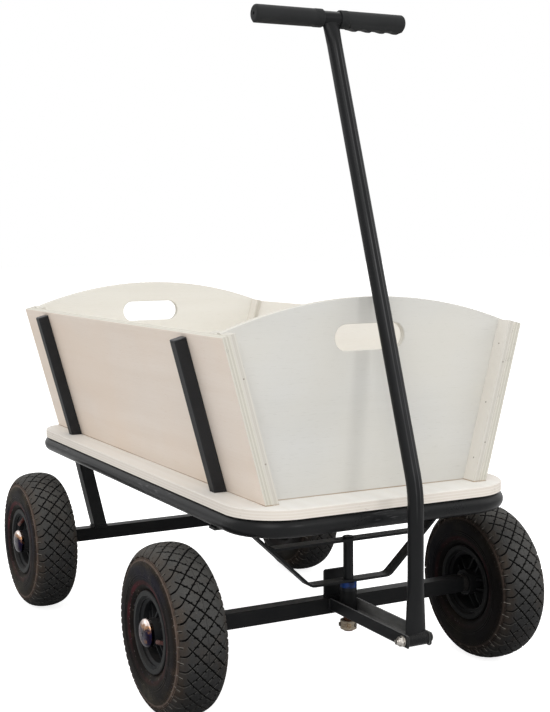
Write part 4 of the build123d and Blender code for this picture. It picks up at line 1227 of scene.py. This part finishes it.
def chamferedHex(name, x0, x1, flats):
    # hexagon bar along X with its corners turned off at both ends
    deselectAll()
    corner = flats / 2 / math.cos(math.pi / 6)
    bpy.ops.mesh.primitive_cylinder_add(vertices=6, radius=corner, depth=x1 - x0,
                                        location=((x0 + x1) / 2, 0, 0), rotation=(0, math.pi / 2, 0))
    bpy.ops.object.transform_apply(location=True, rotation=True, scale=True)
    bar = named(name)
    cut = (corner - flats / 2) * 0.6
    over = 0.0001
    turned = lathed("hexTurning", [
        (x0 - over, 0.0), (x0 - over, flats / 2 * 0.97), (x0 + cut, corner + over),
        (x1 - cut, corner + over), (x1 + over, flats / 2 * 0.97), (x1 + over, 0.0)], 36)
    modified(bar, "BOOLEAN", object=turned, operation="INTERSECT", solver="EXACT")
    bpy.data.objects.remove(turned)
    return smoothed(bar, 25)


def makeBolt(values):
    half, radius, end = values["half"], values["radius"], values["end"]
    washerX = -half - values["washer"]
    nutX = washerX - values["nut"]
    thread = [(end, 0.0), (end, radius - 0.0009)]
    x = end + 0.0004
    while x < nutX:
        thread += [(x, radius - 0.0001), (x + values["pitch"] / 2, radius - 0.0006)]
        x += values["pitch"]
    shank = thread + [(washerX, radius - 0.0001), (half, radius - 0.0001), (half, 0.0)]
    rim = values["washerRim"]
    washer = [(washerX, radius), (washerX, rim - 0.0004), (washerX + 0.0004, rim),
              (-half - 0.0003, rim), (-half, rim - 0.0003), (-half, radius)]
    foot, top, wide = nutX + 0.0002, nutX - values["collar"], values["collarRim"]
    collar = [(foot, radius - 0.0003), (foot, wide), (nutX - 0.0010, wide - 0.0002),
              (top + 0.0006, wide - 0.0011), (top, wide - 0.0015), (top, radius - 0.0003)]
    parts = [
        smoothed(lathed("boltShank", shank, 32), 40),
        smoothed(lathed("boltWasher", washer, 40), 40),
        chamferedHex("boltNut", nutX, washerX, values["flats"]),
        smoothed(lathed("nutCollar", collar, 32), 50),
        chamferedHex("boltHead", half, half + values["headLong"], values["flats"]),
    ]
    for part in parts[:-1]:
        paint(part, steel["brightZinc"])
    paint(parts[-1], steel["boltHeadSteel"])
    bolt = joined("pivot_bolt_piece", parts)
    bolt.data.transform(Matrix.Translation((0, values["y"], values["z"])))
    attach(bolt, "steering")
    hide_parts("pivot_bolt")


makeBolt(boltShape)

collarScrews = {
    "centre": (0, -0.32795, 0.10475), "radius": 0.0034, "root": 0.0085, "hub": 0.0130, "socket": 0.0016,
    # turn from the front in degrees, how far it stands out, finish
    "screws": ((-112, 0.0022, "darkScrewSteel"), (-27, 0.0006, "goldScrewSteel"),
               (26, 0.0008, "darkScrewSteel")),
}


def makeScrews(values):
    made = []
    r, root = values["radius"], values["root"]
    for turn, proud, finish in values["screws"]:
        top = values["hub"] + proud
        socket = top - values["socket"]
        outline = [(root, 0.0), (root, r), (top - 0.0005, r), (top, r - 0.0005), (top, r * 0.56),
                   (socket, r * 0.52), (socket, 0.0)]
        screw = smoothed(lathed("setScrew", outline, 24), 30)
        paint(screw, steel[finish])
        turned = Matrix.Rotation(math.radians(turn - 90), 4, "Z")
        screw.data.transform(Matrix.Translation(values["centre"]) @ turned)
        made.append(screw)
    piece = joined("collar_screws", made)
    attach(piece, "chassis")


makeScrews(collarScrews)

gripRibs = {
    "y": -0.27894, "z": 1.047, "radius": 0.0138, "first": 0.0168, "pitch": 0.0023, "count": 6,
    "half": 0.0007, "crest": 0.0003, "proud": 0.00045, "top": 1.06078,
}


def makeGripRibs(values):
    r, half, crest = values["radius"], values["half"], values["crest"]
    top = r + values["proud"]
    ring = smoothed(lathed("gripRib", [(-half, r - 0.0006), (-half, r), (-crest, top), (crest, top),
                                       (half, r), (half, r - 0.0006)], 48), 60)
    paint(ring, moulded["gripRubber"])
    for name, side in (("grip_ribs_left", 1), ("grip_ribs_right", -1)):
        rings = []
        for i in range(values["count"]):
            x = side * (values["first"] + i * values["pitch"])
            rings.append(copied(ring, "ribCopy", (x, values["y"], values["z"])))
        piece = joined(name, rings)
        for vertex in piece.data.vertices:
            vertex.co.z = min(vertex.co.z, values["top"])
        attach(piece, "handle")
    bpy.data.objects.remove(ring)


makeGripRibs(gripRibs)
print("bolt, screws and grip ribs made")

weldBead = {
    "step": 0.0021, "swell": 1.22, "sides": 8, "wobble": 0.10, "waves": 1900, "chance": 0.05,
    # the radius of each bead, by where it runs
    "legFoot": 0.0016, "legTop": 0.0015, "braceTab": 0.0016, "crossbar": 0.0013, "member": 0.0014,
    "channel": 0.0015, "pin": 0.0012, "headTube": 0.0014, "stop": 0.0014, "handleFoot": 0.0007,
    "handleHead": 0.0011,
}


def rippledRod(count, radius, values):
    # a straight bead along X, one ripple repeated
    deselectAll()
    step = values["step"]
    bpy.ops.mesh.primitive_cylinder_add(
        vertices=values["sides"], radius=radius, depth=step, end_fill_type="NOTHING",
        location=(step / 2, 0, 0), rotation=(0, math.pi / 2, 0))
    bpy.ops.object.transform_apply(location=True, rotation=True, scale=True)
    rod = named("beadRod")
    bpy.ops.object.mode_set(mode="EDIT")
    bpy.ops.mesh.select_all(action="SELECT")
    bpy.ops.mesh.bisect(plane_co=(step / 2, 0, 0), plane_no=(1, 0, 0), threshold=1e-6)
    bpy.ops.object.mode_set(mode="OBJECT")
    for vertex in rod.data.vertices:
        if abs(vertex.co.x - step / 2) < 1e-5:
            vertex.co.y *= values["swell"]
            vertex.co.z *= values["swell"]
    modified(rod, "ARRAY", count=count, use_relative_offset=False, use_constant_offset=True,
             constant_offset_displace=(step, 0, 0), use_merge_vertices=True, merge_threshold=1e-5)
    bpy.ops.object.mode_set(mode="EDIT")
    bpy.ops.mesh.select_all(action="SELECT")
    bpy.ops.mesh.fill_holes(sides=values["sides"])
    bpy.ops.mesh.normals_make_consistent(inside=False)
    bpy.ops.object.mode_set(mode="OBJECT")
    return rod


def beadAlong(points, radius, values, closed=False):
    # lays a rippled bead along a run of points
    points = [Vector(point) for point in points]
    if closed:
        points.append(points[0])
    arcs = [0.0]
    for a, b in zip(points, points[1:]):
        arcs.append(arcs[-1] + (b - a).length)
    count = max(2, round(arcs[-1] / values["step"]))
    rod = rippledRod(count, radius, values)
    long = count * values["step"]
    for vertex in rod.data.vertices:
        x = vertex.co.x / long * arcs[-1]
        i = max(k for k in range(len(points) - 1) if arcs[k] <= x + 1e-9)
        ahead = (points[i + 1] - points[i]).normalized()
        spot = points[i] + ahead * (x - arcs[i])
        side = ahead.cross(Vector((0, 0, 1)) if abs(ahead.z) < 0.9 else Vector((0, 1, 0))).normalized()
        over = side.cross(ahead)
        wobble = 1 + values["wobble"] * math.sin(x * values["waves"])
        wobble += random.uniform(-values["chance"], values["chance"])
        vertex.co = spot + (side * vertex.co.y + over * vertex.co.z) * wobble
    return smoothed(rod, 60)


def ringPoints(centre, rx, ry, count=36):
    x, y, z = centre
    turns = [2 * math.pi * i / count for i in range(count)]
    return [(x + rx * math.cos(turn), y + ry * math.sin(turn), z) for turn in turns]


def squarePoints(centre, wide, deep, corner=0.002):
    x, y, z = centre
    a, b = wide / 2 - corner, deep / 2 - corner
    points = []
    for sx, sy, start in ((1, 1, 0), (-1, 1, 90), (-1, -1, 180), (1, -1, 270)):
        for k in range(3):
            angle = math.radians(start + 45 * k)
            points.append((x + sx * a + corner * math.cos(angle), y + sy * b + corner * math.sin(angle), z))
    return points


def onBar(points, y, z, radius, lean=0.0):
    # moves points of a flat ring onto a bar along X; at a lean of 0 they come from above
    moved = []
    for x, beside, flat in points:
        height = math.sqrt(max(radius * radius - beside * beside, 0))
        moved.append((x, y + beside * math.cos(lean) + height * math.sin(lean),
                      z - beside * math.sin(lean) + height * math.cos(lean)))
    return moved


weldPlaces = {
    "beamTop": 0.1425, "legX": 0.1636, "legWide": 0.0270, "legDeep": 0.0262,
    "legTopX": 0.1974, "legTop": 0.290, "legTopHalf": 0.0132, "legTopDeep": 0.0125,
    "pin": (0.0, -0.32795), "channelHalf": 0.021, "trayFloor": 0.1255, "channelLow": 0.1235,
    "channelBack": -0.30545, "headRadius": 0.0133, "pinHead": 0.0087,
    "braceTab": 0.2274, "tabHalf": 0.0055, "tabDeep": 0.0102, "ringLow": 0.287,
    "crossbarEnd": 0.1362, "crossbarDeep": 0.0095, "crossbarLow": 0.239, "crossbarTop": 0.243,
    "stopHalf": 0.025, "stopFront": -0.29695, "stopBack": -0.29295,
    "members": (-0.28695, 0.36005), "memberHalf": 0.020, "memberX": 0.2155,
    "memberUps": ((0.0, 0.2925), (0.0018, 0.302), (0.0, 0.3105)),
    "sleeve": 0.010, "footHalf": 0.0167, "footDeep": 0.0050,
    "bar": 0.0117, "headHalf": 0.0138, "headDeep": 0.0068,
}


def makeWelds(places, values):
    chassis, steering, handle = [], [], []
    pinX, pinY = places["pin"]
    rear = wheelPlaces["rearAxle"]
    topX, half, deep = places["legTopX"], places["legTopHalf"], places["legTopDeep"]
    for side in (1, -1):
        # the foot and the top of the rear leg
        foot = (side * places["legX"], rear, places["beamTop"] + 0.0006)
        square = squarePoints(foot, places["legWide"], places["legDeep"])
        chassis.append(beadAlong(square, values["legFoot"], values, True))
        top = places["legTop"] - 0.0006
        inner, outer = side * (topX - half), side * (topX + half)
        corners = ((outer, 0.004), (outer, deep), (inner, deep), (inner, -deep))
        bead = [(x, rear + y, top) for x, y in corners]
        chassis.append(beadAlong(bead, values["legTop"], values))
        # the ends of the steering brace and of its crossbar
        tab, z = places["braceTab"], places["ringLow"] + 0.0004
        for edge in (-places["tabDeep"], places["tabDeep"]):
            ends = (tab - places["tabHalf"], tab + places["tabHalf"])
            bead = [(side * x, pinY + edge, z) for x in ends]
            chassis.append(beadAlong(bead, values["braceTab"], values))
        for z in (places["crossbarLow"], places["crossbarTop"]):
            edges = (pinY - places["crossbarDeep"], pinY + places["crossbarDeep"])
            bead = [(side * places["crossbarEnd"], y, z) for y in edges]
            chassis.append(beadAlong(bead, values["crossbar"], values))
        # the cross members, where they meet the ring
        for member in places["members"]:
            for edge in (-places["memberHalf"], places["memberHalf"]):
                bead = [(side * (places["memberX"] - inset), member + edge, z)
                        for inset, z in places["memberUps"]]
                chassis.append(beadAlong(bead, values["member"], values))
        # the back of the drawbar channel against the beam
        x, y = side * (places["channelHalf"] + 0.0004), places["channelBack"] - 0.0006
        bead = [(x, y, places["channelLow"] + 0.003), (x, y, places["beamTop"] - 0.001)]
        steering.append(beadAlong(bead, values["channel"], values))
    ring = ringPoints((pinX, pinY, places["crossbarTop"] + 0.0002), places["pinHead"], places["pinHead"], 24)
    chassis.append(beadAlong(ring, values["pin"], values, True))
    radius = places["headRadius"] + 0.0005
    ring = ringPoints((pinX, pinY, places["trayFloor"] + 0.0004), radius, radius)
    steering.append(beadAlong(ring, values["headTube"], values, True))
    half, z = places["stopHalf"] - 0.001, places["beamTop"] + 0.0003
    for y in (places["stopFront"] - 0.0003, places["stopBack"] + 0.0003):
        steering.append(beadAlong([(-half, y, z), (half, y, z)], values["stop"], values))
    # the foot of the handle on its sleeve, and its head under the crossbar
    foot = ringPoints((0, 0, 0), places["footHalf"], places["footDeep"])
    foot = onBar(foot, boltShape["y"], boltShape["z"], places["sleeve"])
    handle.append(beadAlong(foot, values["handleFoot"], values, True))
    head = ringPoints((0, 0, 0), places["headHalf"], places["headDeep"])
    head = onBar(head, gripRibs["y"], gripRibs["z"], places["bar"], math.pi + handleLean)
    handle.append(beadAlong(head, values["handleHead"], values, True))
    for name, beads in (("chassis", chassis), ("steering", steering), ("handle", handle)):
        piece = joined(name + "_welds", beads)
        paint(piece, coatWeld)
        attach(piece, name)


makeWelds(weldPlaces, weldBead)
print("welds made")

nailShape = {
    "radius": 0.0013, "proud": 0.00012, "sink": 0.0010, "side": 0.1945, "deck": plywood["deckTop"],
    # the outer face of each end board, and the way out from it
    "endBoards": ((-0.39295, -1), (0.39905, 1)), "boardThick": 0.012, "strip": 0.027,
    "frontUps": (0.061, 0.185), "frontInset": 0.0170, "sideUps": (0.036, 0.122, 0.213),
    "sideInset": 0.0220,
}


def makeNails(values):
    lean = plywood["lean"]
    slope = math.tan(lean)
    r, proud, sink = values["radius"], values["proud"], values["sink"]
    head = smoothed(lathed("nailHead", [(-sink, 0.0), (-sink, r), (proud - 0.0001, r),
                                        (proud, r - 0.0002), (proud, 0.0)], 16), 40)
    made = []

    def setNail(side, up, inset, y, direction):
        x = values["side"] + up * slope - inset / math.cos(lean)
        spot = Matrix.Translation((side * x, y, values["deck"] + up))
        made.append(copied(head, "nailCopy", matrix=spot @ turnedTo(direction)))

    for side in (1, -1):
        for board, way in values["endBoards"]:
            face = board + way * values["strip"]
            for up in values["frontUps"]:
                setNail(side, up, values["frontInset"], face, (0, way, 0))
            outside = board + way * values["strip"] / 2
            inside = board - way * (values["boardThick"] + values["strip"] / 2)
            for y in (outside, inside):
                for up in values["sideUps"]:
                    setNail(side, up, values["sideInset"], y, (-side * math.cos(lean), 0, math.sin(lean)))
    piece = joined("batten_nails", made)
    bpy.data.objects.remove(head)
    paint(piece, steel["dullNailSteel"])
    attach(piece, "chassis")


makeNails(nailShape)
print("nails made")
